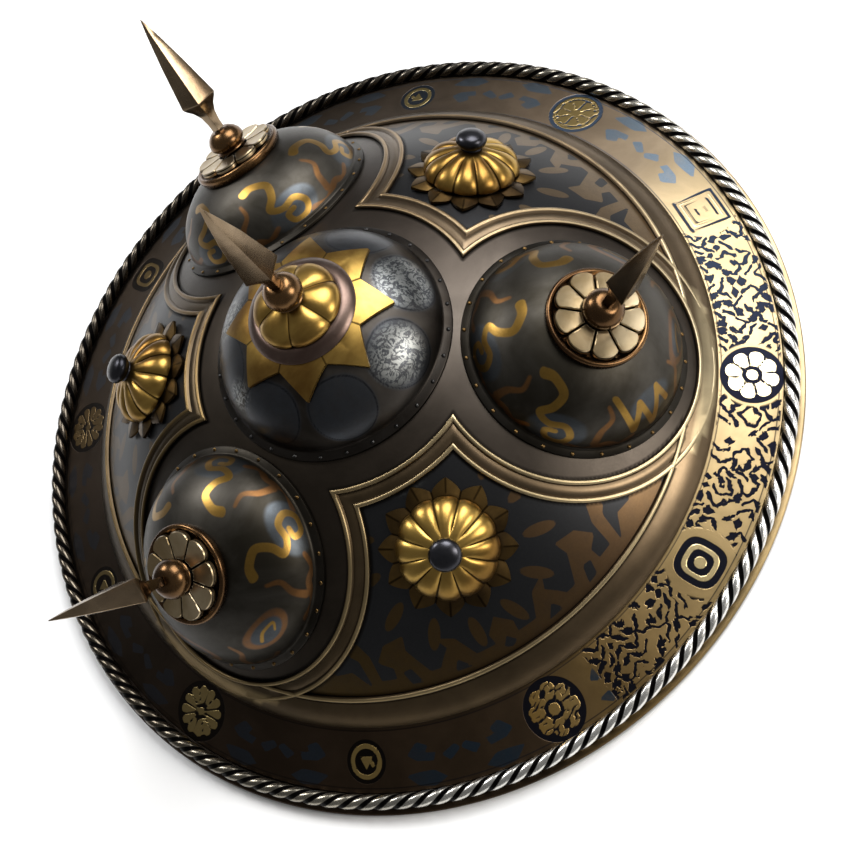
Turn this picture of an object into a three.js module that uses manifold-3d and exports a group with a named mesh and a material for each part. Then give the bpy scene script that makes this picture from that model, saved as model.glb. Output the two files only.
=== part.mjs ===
// Round dished buckler with four hollow domes, each carrying a spike.
// Millimetres, +Z up. The shield lies rim down: z = 0 is the flat underside of the
// lip, the origin is the centre of the rim, +X points to the first outer dome.
import * as THREE from 'three';
import Module from 'manifold-3d';

const wasm = await Module();
wasm.setup();

const TAU = Math.PI * 2;
const DEG = Math.PI / 180;

// ---- plate -------------------------------------------------------------------
const RIM_R = 220;                 // outer radius of the lip
const LIP = { inner: 210.3, top: 3.4, edge: 2.5 }; // flat ledge under the rope bead
const SPHERE_R = 226.6;            // outer radius of the dished middle
const SPHERE_Z = -123.3;           // height of the dished middle's centre
const BORDER_IN_R = 178.2;         // radius where the dish turns into the border
const PLATE_T = 1.6;               // sheet thickness
const PLATE_SEGS = 48;
const DISH_STEPS = 7;
const INNER_STEPS = 5;
const GAP = 0.5;                   // clearance between touching pieces on the dish
const BAND_GAP = 0.85;             // clearance under the wide steps of the moulding

// ---- rope bead ---------------------------------------------------------------
const ROPE_R = 214.2;              // radius of the bead's centre line
const ROPE_HALF = 4.0;             // half diagonal of the twisted bar
const ROPE_STATIONS = 104;         // two stations to each quarter turn

// ---- moulding ----------------------------------------------------------------
const MID_CIRCLE = 19.9 * DEG;     // angular radius of the middle ground circle
const OUT_CIRCLE = 17.5 * DEG;     // angular radius of the three outer circles
const OUT_CIRCLE_POLAR = 31 * DEG; // tilt of the outer circles
const RING_IN_POLAR = 47.06 * DEG; // inner edge of the ring moulding
const RIDGE_H = 2.4;               // height of the two fine ridges
const BAND_H = 1.1;                // height of the hollow between them
const BAND_W = 11.2;               // width of the moulding
const RIDGE_W = 2.6;
const ARC_STEPS = 14;              // straight steps on each outer arc
const MID_ARC_STEPS = 4;           // and on each arc of the middle circle

// ---- domes -------------------------------------------------------------------
const OUTER_AZIMUTHS = { right: 0, upper_left: 120, lower_left: 240 };
const DOME_POLAR = 32.1 * DEG;
const OUTER_DOME = { radius: 54.2, height: 36.6, flange: 58 };
const MID_DOME = { radius: 59.8, height: 38.5, flange: 64 };
const DOME_T = 1.4;                // sheet thickness of the domes
const FLANGE_T = 1.5;
const DOME_SEGS = 18;
const DOME_STEPS = 4;

// ---- spikes ------------------------------------------------------------------
const SPIKE_LEAN = 1.2 * DEG;      // extra outward lean of the outer spikes
const BLADE = { stem: 3.4, shoulder: 10.2, flat: 0.78 };
const OUTER_BLADE = { length: 71.5, shoulderAt: 0.25 };
const MID_BLADE = { length: 76.5, shoulderAt: 0.18 };
const MID_BLADE_AZIMUTH = -45;     // the way the middle blade's flat faces
const OUTER_COLLAR = { radius: 10.2, height: 12 };
const MID_COLLAR = { radius: 10, height: 13 };

// ---- trim on the outer domes ---------------------------------------------------
const DISH = { radius: 25.5, hole: 6, height: 3.2 };
const FLOWER = { petals: 9, tip: 22.6, notch: 18.2, hub: 8.4, height: 2.6 };

// ---- trim on the middle dome -----------------------------------------------------
const STAR = { points: 8, tip: 45, notch: 32, hole: 14, height: 1.3, gap: 1.1, turn: 5 * DEG };
const MID_RING = { inner: 19.4, outer: 28.4, height: 2.4 };
const MID_CAP = { lobes: 6, radius: 22.6, height: 10.5, flute: 0.9 };

// ---- gilt bosses between the outer domes -------------------------------------------
const BOSS_AZIMUTHS = { top: 60, left: 180, bottom: 300 };
const BOSS_POLAR = 31.5 * DEG;
const LEAVES = { count: 12, tip: 34, notch: 27.5, hole: 14, height: 1.6 };
const BOSS_CAP = { lobes: 12, radius: 25.3, height: 13, flute: 1.0 };
const KNOB = { radius: 8.2, height: 9 };

// ---- grip on the back ------------------------------------------------------------
const GRIP = { span: 50, drop: 44, width: 16, thick: 5, foot: 9, gap: 1.9 };
const GRIP_RIVET = { radius: 4.2, height: 2.2 };

// ---- finishes --------------------------------------------------------------------
const FINISH = {
  steel: { color: 0x4a4640, roughness: 0.4, metalness: 0.9 },
  rope: { color: 0xb9b7b2, roughness: 0.3, metalness: 1.0 },
  bronze: { color: 0x8a6d4a, roughness: 0.35, metalness: 1.0 },
  dome: { color: 0x3c3d3e, roughness: 0.3, metalness: 1.0 },
  blade: { color: 0x6f6658, roughness: 0.2, metalness: 1.0 },
  brass: { color: 0x96703c, roughness: 0.25, metalness: 1.0 },
  gold: { color: 0xc39b45, roughness: 0.28, metalness: 1.0 },
  petal: { color: 0xd9c9a4, roughness: 0.3, metalness: 0.9 },
  knob: { color: 0x3a3a3e, roughness: 0.35, metalness: 1.0 },
  grip: { color: 0x35322e, roughness: 0.55, metalness: 0.9 },
};

// ---- helpers -----------------------------------------------------------------------
function mesh(name, geometry, finish) {
  const material = new THREE.MeshStandardMaterial({ ...FINISH[finish], name });
  const result = new THREE.Mesh(geometry, material);
  result.name = name;
  return result;
}

function geometryOf(points, triangles) {
  const geometry = new THREE.BufferGeometry();
  geometry.setAttribute('position', new THREE.Float32BufferAttribute(points.flat(), 3));
  geometry.setIndex(triangles.flat());
  geometry.computeVertexNormals();
  return geometry;
}

// Grid of rows of equal length, each row a closed turn. The rows start at a pole
// (a single point) or close on the first row.
function turnedGrid(rows, { closed = false } = {}) {
  const points = [];
  const first = [];
  for (const row of rows) {
    first.push(points.length);
    points.push(...row);
  }
  const triangles = [];
  const n = Math.max(...rows.map((row) => row.length));
  const pairs = closed ? rows.length : rows.length - 1;
  const at = (i, j) => first[i] + (rows[i].length === 1 ? 0 : j % n);
  for (let i = 0; i < pairs; i += 1) {
    const k = (i + 1) % rows.length;
    for (let j = 0; j < n; j += 1) {
      const [a, b, c, d] = [at(i, j), at(k, j), at(k, j + 1), at(i, j + 1)];
      if (a !== d) triangles.push([a, b, d]);
      if (b !== c) triangles.push([b, c, d]);
    }
  }
  return geometryOf(points, triangles);
}

// Solid of revolution about Z from [radius, z] pairs, outer skin first from the top.
// A radius of zero is a pole. Radii may be functions of the angle.
function turned(profile, segs, { closed = false, shape = null } = {}) {
  const rows = profile.map(([r, z, weight = 0]) => {
    if (r === 0) return [[0, 0, z]];
    const row = [];
    for (let j = 0; j < segs; j += 1) {
      const angle = (j / segs) * TAU;
      const [rr, zz] = shape ? shape(r, z, j, weight) : [r, z];
      row.push([rr * Math.cos(angle), rr * Math.sin(angle), zz]);
    }
    return row;
  });
  return turnedGrid(rows, { closed });
}

function toManifold(geometry) {
  const flat = geometry.index ? geometry : geometry.clone();
  return new wasm.Manifold(new wasm.Mesh({
    numProp: 3,
    vertProperties: new Float32Array(flat.attributes.position.array),
    triVerts: new Uint32Array(flat.index.array),
  }));
}

function fromManifold(solid) {
  const data = solid.getMesh();
  const geometry = new THREE.BufferGeometry();
  geometry.setAttribute('position', new THREE.Float32BufferAttribute(data.vertProperties, 3));
  geometry.setIndex(Array.from(data.triVerts));
  geometry.computeVertexNormals();
  return geometry;
}

// Unit vectors of a place on the dish: outward normal, downhill and sideways.
function placeOnDish(polar, azimuth) {
  const [sp, cp, sa, ca] = [Math.sin(polar), Math.cos(polar), Math.sin(azimuth), Math.cos(azimuth)];
  return {
    out: new THREE.Vector3(sp * ca, sp * sa, cp),
    down: new THREE.Vector3(cp * ca, cp * sa, -sp),
    side: new THREE.Vector3(-sa, ca, 0),
  };
}

const DISH_CENTRE = new THREE.Vector3(0, 0, SPHERE_Z);

// Moves a geometry made about Z so that its z = 0 plane lies `distance` from the
// dish's centre along the normal at (polar, azimuth).
function seat(geometry, polar, azimuthDeg, distance, lean = 0) {
  const { out, down, side } = placeOnDish(polar, azimuthDeg * DEG);
  const leanOut = out.clone().multiplyScalar(Math.cos(lean)).addScaledVector(down, Math.sin(lean));
  const leanDown = down.clone().multiplyScalar(Math.cos(lean)).addScaledVector(out, -Math.sin(lean));
  const origin = DISH_CENTRE.clone().addScaledVector(out, distance);
  const matrix = new THREE.Matrix4().makeBasis(leanDown, side, leanOut).setPosition(origin);
  return geometry.applyMatrix4(matrix);
}

// Distance from the dish's centre to the chord plane of a circle of this radius on it.
const chordPlane = (radius) => Math.sqrt(SPHERE_R ** 2 - radius ** 2);

// ---- plate ---------------------------------------------------------------------------
function plateProfile() {
  const edge = Math.asin(BORDER_IN_R / SPHERE_R);
  const outer = [];
  const inner = [];
  const arc = (list, radius, steps) => {
    for (let i = 0; i <= steps; i += 1) {
      const polar = (edge * i) / steps;
      list.push([radius * Math.sin(polar), SPHERE_Z + radius * Math.cos(polar)]);
    }
  };
  arc(outer, SPHERE_R, DISH_STEPS);
  arc(inner, SPHERE_R - PLATE_T, INNER_STEPS);
  outer[0][0] = 0;
  inner[0][0] = 0;
  const slope = (outer[DISH_STEPS][1] - LIP.edge) / (RIM_R - BORDER_IN_R);
  const step = LIP.inner - 0.8;
  const stepZ = LIP.edge + slope * (RIM_R - step);
  const lip = [
    [step, stepZ],
    [LIP.inner, LIP.top],
    [RIM_R, LIP.edge],
    [RIM_R - 0.8, 0],
    [LIP.inner + 0.7, 0],
    [step - 0.4, stepZ - PLATE_T],
  ];
  return [...outer, ...lip, ...inner.reverse()];
}

const plate = mesh('plate', turned(plateProfile(), PLATE_SEGS), 'steel');

// ---- rope bead: a square bar twisted a quarter turn for each strand ---------------------
function ropeBead() {
  const centreZ = LIP.top + ROPE_HALF + 0.3;
  const rows = [];
  for (let i = 0; i < ROPE_STATIONS; i += 1) {
    const azimuth = (i / ROPE_STATIONS) * TAU;
    const row = [];
    for (let c = 0; c < 4; c += 1) {
      const turn = (c / 4) * TAU + (i / 8) * TAU;
      const r = ROPE_R + ROPE_HALF * Math.cos(turn);
      row.push([r * Math.cos(azimuth), r * Math.sin(azimuth), centreZ + ROPE_HALF * Math.sin(turn)]);
    }
    rows.push(row);
  }
  return turnedGrid(rows, { closed: true });
}

const ropeMesh = mesh('rim_rope', ropeBead(), 'rope');

// ---- moulding -----------------------------------------------------------------------------
const mouldingSection = [
  [0, BAND_GAP], [0.3, RIDGE_H], [RIDGE_W - 0.3, RIDGE_H], [BAND_W / 2, BAND_H],
  [BAND_W - RIDGE_W + 0.3, RIDGE_H],
  [BAND_W - 0.3, RIDGE_H], [BAND_W, BAND_GAP],
];

// Point on the dish at an angular distance and turn about a tilted axis.
function dishPoint(axisPolar, azimuth, spread, turn, height) {
  const { out, down, side } = placeOnDish(axisPolar, azimuth);
  const point = out.multiplyScalar(Math.cos(spread))
    .addScaledVector(down, Math.sin(spread) * Math.cos(turn))
    .addScaledVector(side, Math.sin(spread) * Math.sin(turn));
  return point.multiplyScalar(SPHERE_R + height).add(DISH_CENTRE).toArray();
}

// One closed row of points round the four-circle outline, `offset` mm outside it.
function trefoilRow(offset, height) {
  const mid = MID_CIRCLE + offset / SPHERE_R;
  const out = OUT_CIRCLE + offset / SPHERE_R;
  const [ct, st] = [Math.cos(OUT_CIRCLE_POLAR), Math.sin(OUT_CIRCLE_POLAR)];
  const halfTurn = Math.acos((Math.cos(out) * ct - Math.cos(mid)) / (Math.sin(out) * st));
  const halfAzimuth = Math.acos((Math.cos(out) - Math.cos(mid) * ct) / (Math.sin(mid) * st));
  const row = [];
  for (const degrees of Object.values(OUTER_AZIMUTHS)) {
    const azimuth = degrees * DEG;
    for (let i = 0; i <= ARC_STEPS; i += 1) {
      const turn = halfTurn * ((2 * i) / ARC_STEPS - 1);
      row.push(dishPoint(OUT_CIRCLE_POLAR, azimuth, out, turn, height));
    }
    const gapAngle = TAU / 3 - 2 * halfAzimuth;
    for (let i = 1; i < MID_ARC_STEPS; i += 1) {
      const along = azimuth + halfAzimuth + (gapAngle * i) / MID_ARC_STEPS;
      row.push(dishPoint(0, 0, mid, along, height));
    }
  }
  return row;
}

function frameMoulding() {
  const trefoilRows = mouldingSection.map(([offset, height]) => trefoilRow(offset, height));
  const trefoil = toManifold(turnedGrid(trefoilRows, { closed: true }));
  const edge = Math.asin(BORDER_IN_R / SPHERE_R);
  const width = (edge - RING_IN_POLAR) * SPHERE_R;
  const ringSection = [
    [0, GAP], [0.3, RIDGE_H], [RIDGE_W - 0.3, RIDGE_H], [RIDGE_W + 0.6, BAND_H],
    [width - 0.6, 1.9], [width, GAP],
  ];
  const ringProfile = ringSection.map(([offset, height]) => {
    const polar = RING_IN_POLAR + offset / SPHERE_R;
    const r = SPHERE_R + height;
    return [r * Math.sin(polar), SPHERE_Z + r * Math.cos(polar)];
  });
  let ring = toManifold(turned(ringProfile, PLATE_SEGS, { closed: true }));
  const plugSpread = OUT_CIRCLE + (RIDGE_W * 0.5) / SPHERE_R;
  for (const degrees of Object.values(OUTER_AZIMUTHS)) {
    const plugLow = (SPHERE_R - 12) * Math.sin(plugSpread);
    const plugHigh = (SPHERE_R + 12) * Math.sin(plugSpread);
    const plug = turned([[0, 12], [plugHigh, 12], [plugLow, -12], [0, -12]], 24);
    seat(plug, OUT_CIRCLE_POLAR, degrees, SPHERE_R * Math.cos(plugSpread));
    ring = ring.subtract(toManifold(plug));
  }
  return fromManifold(trefoil.add(ring).simplify(0.15));
}

const moulding = mesh('frame_moulding', frameMoulding(), 'bronze');

// ---- domes ------------------------------------------------------------------------------
// Hollow cap with a base flange. z = 0 is the chord plane of its base circle.
function dome({ radius, height, flange }) {
  const outer = [];
  const inner = [];
  const cap = (list, across, up, steps) => {
    for (let i = 0; i <= steps; i += 1) {
      const lift = (Math.PI / 2) * (1 - i / steps);
      list.push([across * Math.cos(lift), up * Math.sin(lift)]);
    }
  };
  cap(outer, radius, height, DOME_STEPS);
  cap(inner, radius - DOME_T - 0.6, height - DOME_T - 0.6, DOME_STEPS - 1);
  outer[0][0] = 0;
  inner[0][0] = 0;
  const onDish = (r) => Math.sqrt((SPHERE_R + GAP) ** 2 - r ** 2) - chordPlane(radius);
  outer[DOME_STEPS][1] = onDish(radius) + FLANGE_T + 0.8;
  const base = inner.pop();
  const foot = [
    [flange, onDish(flange) + FLANGE_T],
    [flange, onDish(flange)],
    [base[0], onDish(base[0])],
  ];
  return turned([...outer, ...foot, ...inner.reverse()], DOME_SEGS);
}

// ---- spike and its collar -----------------------------------------------------------------
function blade({ length, shoulderAt }) {
  const { stem, shoulder, flat } = BLADE;
  const stations = [
    [0, stem, 1], [shoulderAt * length * 0.55, stem * 1.25, 0.9],
    [shoulderAt * length, shoulder, flat], [shoulderAt * length + 1.5, shoulder, flat],
    [length * 0.6, shoulder * 0.62, flat],
  ];
  const rows = [[[0, 0, 0]]];
  for (const [z, half, thin] of stations) {
    rows.push([[0, half, z], [half * thin, 0, z], [0, -half, z], [-half * thin, 0, z]]);
  }
  rows.push([[0, 0, length]]);
  return turnedGrid(rows);
}

function collar({ radius, height }) {
  return turned([
    [0, height], [radius * 0.36, height], [radius * 0.72, height * 0.82], [radius, height * 0.42],
    [radius * 0.8, height * 0.12], [radius * 0.82, 0], [0, 0],
  ], 10);
}

// ---- trim -----------------------------------------------------------------------------------
const domeHeightAt = ({ radius, height }, r) => height * Math.sqrt(1 - (r / radius) ** 2);

function dishWasher() {
  const { radius, hole, height } = DISH;
  const drop = OUTER_DOME.height - domeHeightAt(OUTER_DOME, radius);
  const mid = (hole + radius) / 2;
  const midDrop = OUTER_DOME.height - domeHeightAt(OUTER_DOME, mid);
  return turned([
    [hole, 1.4], [radius * 0.84, 0.2], [radius * 0.93, 1.6], [radius, 0.2 - drop * 0.4],
    [radius - 0.8, GAP - drop], [mid, GAP - midDrop], [hole, GAP - 0.3],
  ], 14, { closed: true });
}

function flower() {
  const { petals, tip, notch, hub, height } = FLOWER;
  const shape = (r, z, j, weight) => {
    const crest = j % 3 === 0 ? 0 : 1;
    const reach = weight > 1 ? (crest ? tip : notch) : r;
    return [reach, weight ? z * (crest ? 1 : 0.45) : z];
  };
  return turned([
    [hub, height * 0.8, 1], [tip, height, 2], [tip, 0, 2], [hub, 0],
  ].map(([r, z, w]) => [r, z, w ?? 0]), petals * 3, { closed: true, shape });
}

function sunburst() {
  const { points, tip, notch, hole, height, gap, turn } = STAR;
  const segs = points * 2;
  const share = [0, 0.5, 1];
  const rows = [];
  const row = (part, lift) => {
    const list = [];
    for (let j = 0; j < segs; j += 1) {
      const angle = (j / segs) * TAU + turn;
      const reach = j % 2 === 0 ? tip : notch;
      const r = hole + (reach - hole) * part;
      const sag = (reach === tip ? 0 : 0.5) * part;
      list.push([r * Math.cos(angle), r * Math.sin(angle), domeHeightAt(MID_DOME, r) + lift + sag]);
    }
    return list;
  };
  for (const part of share) rows.push(row(part, gap + height));
  for (const part of [...share].reverse()) rows.push(row(part, gap));
  return turnedGrid(rows, { closed: true });
}

function lobedCap({ lobes, radius, height, flute }) {
  const segs = lobes * 4;
  const steps = 3;
  const shape = (r, z, j, weight) => [r - (j % 4 === 0 ? flute * weight : 0), z];
  const profile = [[0, height]];
  for (let i = 1; i <= steps; i += 1) {
    const lift = (Math.PI / 2) * (1 - i / steps);
    profile.push([radius * Math.cos(lift), height * Math.sin(lift) + 0.6, i === 1 ? 0.6 : 1]);
  }
  profile.push([radius, 0, 1], [0, 0]);
  return turned(profile, Math.min(segs, 24), {
    shape: lobes * 4 > 24 ? (r, z, j, w) => [r - (j % 2 ? 0 : flute * w), z] : shape,
  });
}

function leafCollar() {
  const { count, tip, notch, hole, height } = LEAVES;
  const shape = (r, z, j, weight) => {
    const reach = weight > 1 ? (j % 2 === 0 ? tip : notch) : r;
    return [reach, z];
  };
  const onDish = (r) => Math.sqrt((SPHERE_R + GAP) ** 2 - r ** 2) - SPHERE_R;
  return turned([
    [hole, onDish(hole) + height], [notch - 2, onDish(notch) + height + 1.4],
    [tip, onDish(tip) + height + 0.8, 2], [tip, onDish(tip) + 0.4, 2], [hole, onDish(hole) + 0.3],
  ], count * 2, { closed: true, shape });
}

function knob() {
  const { radius, height } = KNOB;
  return turned([
    [0, height], [radius * 0.75, height * 0.86], [radius, height * 0.5], [radius * 0.7, height * 0.1],
    [0, 0],
  ], 10);
}

// ---- assembly ------------------------------------------------------------------------------
const shield = new THREE.Group();
shield.name = 'buckler_shield';
shield.add(plate, ropeMesh, moulding);

// Middle dome and what stands on it.
const midBase = chordPlane(MID_DOME.radius);
const midTop = midBase + MID_DOME.height;
const middle = new THREE.Group();
middle.name = 'center_dome_set';
const ringSeat = midBase + domeHeightAt(MID_DOME, MID_RING.inner) + STAR.gap + STAR.height + 0.3;
const ringFall = domeHeightAt(MID_DOME, MID_RING.inner) - domeHeightAt(MID_DOME, MID_RING.outer);
const midRing = turned([
  [MID_RING.inner, MID_RING.height * 0.7], [MID_RING.inner + 3, MID_RING.height],
  [MID_RING.outer - 2, MID_RING.height * 0.45 - ringFall * 0.4], [MID_RING.outer, 0.4 - ringFall],
  [MID_RING.outer - 0.8, 0.2 - ringFall * 0.8], [MID_RING.inner, 0.2],
], 16, { closed: true });
const capSeat = midTop + 3.4;
const midSpikeSeat = capSeat + MID_CAP.height + MID_COLLAR.height + 0.6;
middle.add(
  mesh('center_dome', seat(dome(MID_DOME), 0, 0, midBase), 'dome'),
  mesh('center_sunburst', seat(sunburst(), 0, 0, midBase), 'gold'),
  mesh('center_ring', seat(midRing, 0, 0, ringSeat), 'bronze'),
  mesh('center_cap', seat(lobedCap(MID_CAP), 0, 0, capSeat), 'gold'),
  mesh('center_collar', seat(collar(MID_COLLAR), 0, 0, capSeat + MID_CAP.height + 0.3), 'brass'),
  mesh('center_spike', seat(blade(MID_BLADE), 0, MID_BLADE_AZIMUTH, midSpikeSeat), 'blade'),
);
shield.add(middle);

// Outer domes.
const outerBase = chordPlane(OUTER_DOME.radius);
const outerTop = outerBase + OUTER_DOME.height;
for (const [name, azimuth] of Object.entries(OUTER_AZIMUTHS)) {
  const set = new THREE.Group();
  set.name = `${name}_dome_set`;
  const at = (geometry, distance, lean) => seat(geometry, DOME_POLAR, azimuth, distance, lean);
  const flowerSeat = outerTop + 1.8;
  const collarSeat = flowerSeat + FLOWER.height + 0.8;
  const spikeSeat = collarSeat + OUTER_COLLAR.height + 0.3;
  set.add(
    mesh(`${name}_dome`, at(dome(OUTER_DOME), outerBase), 'dome'),
    mesh(`${name}_dish`, at(dishWasher(), outerTop), 'brass'),
    mesh(`${name}_flower`, at(flower(), flowerSeat), 'petal'),
    mesh(`${name}_collar`, at(collar(OUTER_COLLAR), collarSeat), 'brass'),
    mesh(`${name}_spike`, at(blade(OUTER_BLADE), spikeSeat, SPIKE_LEAN), 'blade'),
  );
  shield.add(set);
}

// Gilt bosses.
for (const [name, azimuth] of Object.entries(BOSS_AZIMUTHS)) {
  const set = new THREE.Group();
  set.name = `${name}_boss_set`;
  const at = (geometry, distance) => seat(geometry, BOSS_POLAR, azimuth, SPHERE_R + distance);
  const capBase = LEAVES.height + 0.9;
  set.add(
    mesh(`${name}_boss_leaves`, at(leafCollar(), 0), 'gold'),
    mesh(`${name}_boss_cap`, at(lobedCap(BOSS_CAP), capBase), 'gold'),
    mesh(`${name}_boss_knob`, at(knob(), capBase + BOSS_CAP.height + 0.3), 'knob'),
  );
  shield.add(set);
}

// Grip: a bowed bar whose two feet lie under the dish, behind the middle dome.
function gripBar() {
  const { span, drop, width, thick, foot, gap } = GRIP;
  const under = (x) => SPHERE_Z + Math.sqrt((SPHERE_R - PLATE_T - gap) ** 2 - x ** 2);
  const bar = under(0) - drop;
  const inner = span - foot;
  const half = [
    [inner - 13, bar], [inner - 8, bar + 3], [inner, under(inner)], [span + foot, under(span + foot)],
    [span + foot, under(span + foot) - thick], [inner + 5, under(inner) - thick - 1],
    [inner - 3, bar], [inner - 9, bar - thick],
  ];
  const mirrored = half.map(([x, z]) => [-x, z]).reverse();
  const outline = [...half, ...mirrored].map(([x, z]) => new THREE.Vector2(x, z));
  const solid = new THREE.ExtrudeGeometry(new THREE.Shape(outline), { depth: width, bevelEnabled: false });
  return solid.rotateX(Math.PI / 2).translate(0, width / 2, 0);
}

function gripRivet(side) {
  const { span, foot, thick, gap } = GRIP;
  const { radius, height } = GRIP_RIVET;
  const under = (x) => SPHERE_Z + Math.sqrt((SPHERE_R - PLATE_T - gap) ** 2 - x ** 2);
  const tilt = Math.atan((under(span - foot) - under(span + foot)) / (2 * foot));
  const z = (under(span - foot) + under(span + foot)) / 2 - thick - 0.9;
  return turned([[0, 0], [radius, 0], [radius * 0.7, -height * 0.8], [0, -height]].reverse()
    .map(([r, h]) => [r, -h]), 10)
    .rotateX(Math.PI).rotateY(side * tilt).translate(side * span, 0, z);
}

const grip = new THREE.Group();
grip.name = 'grip_set';
grip.add(
  mesh('grip', gripBar(), 'grip'),
  mesh('grip_rivet_left', gripRivet(-1), 'knob'),
  mesh('grip_rivet_right', gripRivet(1), 'knob'),
);
shield.add(grip);

export default shield;
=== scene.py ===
"""Dressed model of a round dished buckler with four hollow domes, each with a spike.

Metres, +Z up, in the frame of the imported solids: the shield lies rim down, the
origin is the centre of the rim and +X points to the first outer dome.
"""

import logging
import math
from dataclasses import dataclass
from enum import Enum
from typing import Callable, Iterable, Sequence

import bpy
import numpy as np
from mathutils import Matrix, Vector


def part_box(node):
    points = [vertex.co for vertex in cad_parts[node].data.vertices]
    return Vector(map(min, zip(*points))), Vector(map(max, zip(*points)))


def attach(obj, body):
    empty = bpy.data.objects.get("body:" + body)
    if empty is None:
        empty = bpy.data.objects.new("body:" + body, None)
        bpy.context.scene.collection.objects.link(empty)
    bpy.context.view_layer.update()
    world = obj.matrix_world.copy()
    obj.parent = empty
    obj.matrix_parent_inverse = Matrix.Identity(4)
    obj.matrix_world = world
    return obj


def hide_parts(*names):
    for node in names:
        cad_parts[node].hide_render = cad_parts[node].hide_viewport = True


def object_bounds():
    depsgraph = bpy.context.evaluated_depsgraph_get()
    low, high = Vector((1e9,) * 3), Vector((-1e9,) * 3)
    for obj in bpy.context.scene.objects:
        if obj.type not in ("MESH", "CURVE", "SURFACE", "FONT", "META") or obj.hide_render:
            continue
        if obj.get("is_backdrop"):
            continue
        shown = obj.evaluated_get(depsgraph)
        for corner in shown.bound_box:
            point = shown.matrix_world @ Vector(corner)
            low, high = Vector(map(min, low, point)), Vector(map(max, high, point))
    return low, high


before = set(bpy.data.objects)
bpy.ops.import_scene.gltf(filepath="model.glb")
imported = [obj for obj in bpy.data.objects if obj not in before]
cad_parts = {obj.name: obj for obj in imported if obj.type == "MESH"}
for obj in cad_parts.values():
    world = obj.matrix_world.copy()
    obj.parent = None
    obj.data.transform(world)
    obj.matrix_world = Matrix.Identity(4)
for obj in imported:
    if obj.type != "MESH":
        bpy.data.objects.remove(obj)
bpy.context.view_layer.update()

LOG = logging.getLogger("buckler")
MM = 0.001
TAU = math.tau
BODY = "root"

RGB = tuple[float, float, float]
Profile = Sequence[tuple[float, float]]
Field = np.ndarray


# ---- finishes ------------------------------------------------------------------


def tone(code: str) -> RGB:
    """Turns a hex colour into linear light.

    Args:
        code: six hex digits after a hash.

    Returns:
        Red, green and blue from 0 to 1.
    """
    parts = [int(code[i : i + 2], 16) / 255 for i in (1, 3, 5)]
    return tuple(p / 12.92 if p <= 0.04045 else ((p + 0.055) / 1.055) ** 2.4 for p in parts)


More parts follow.
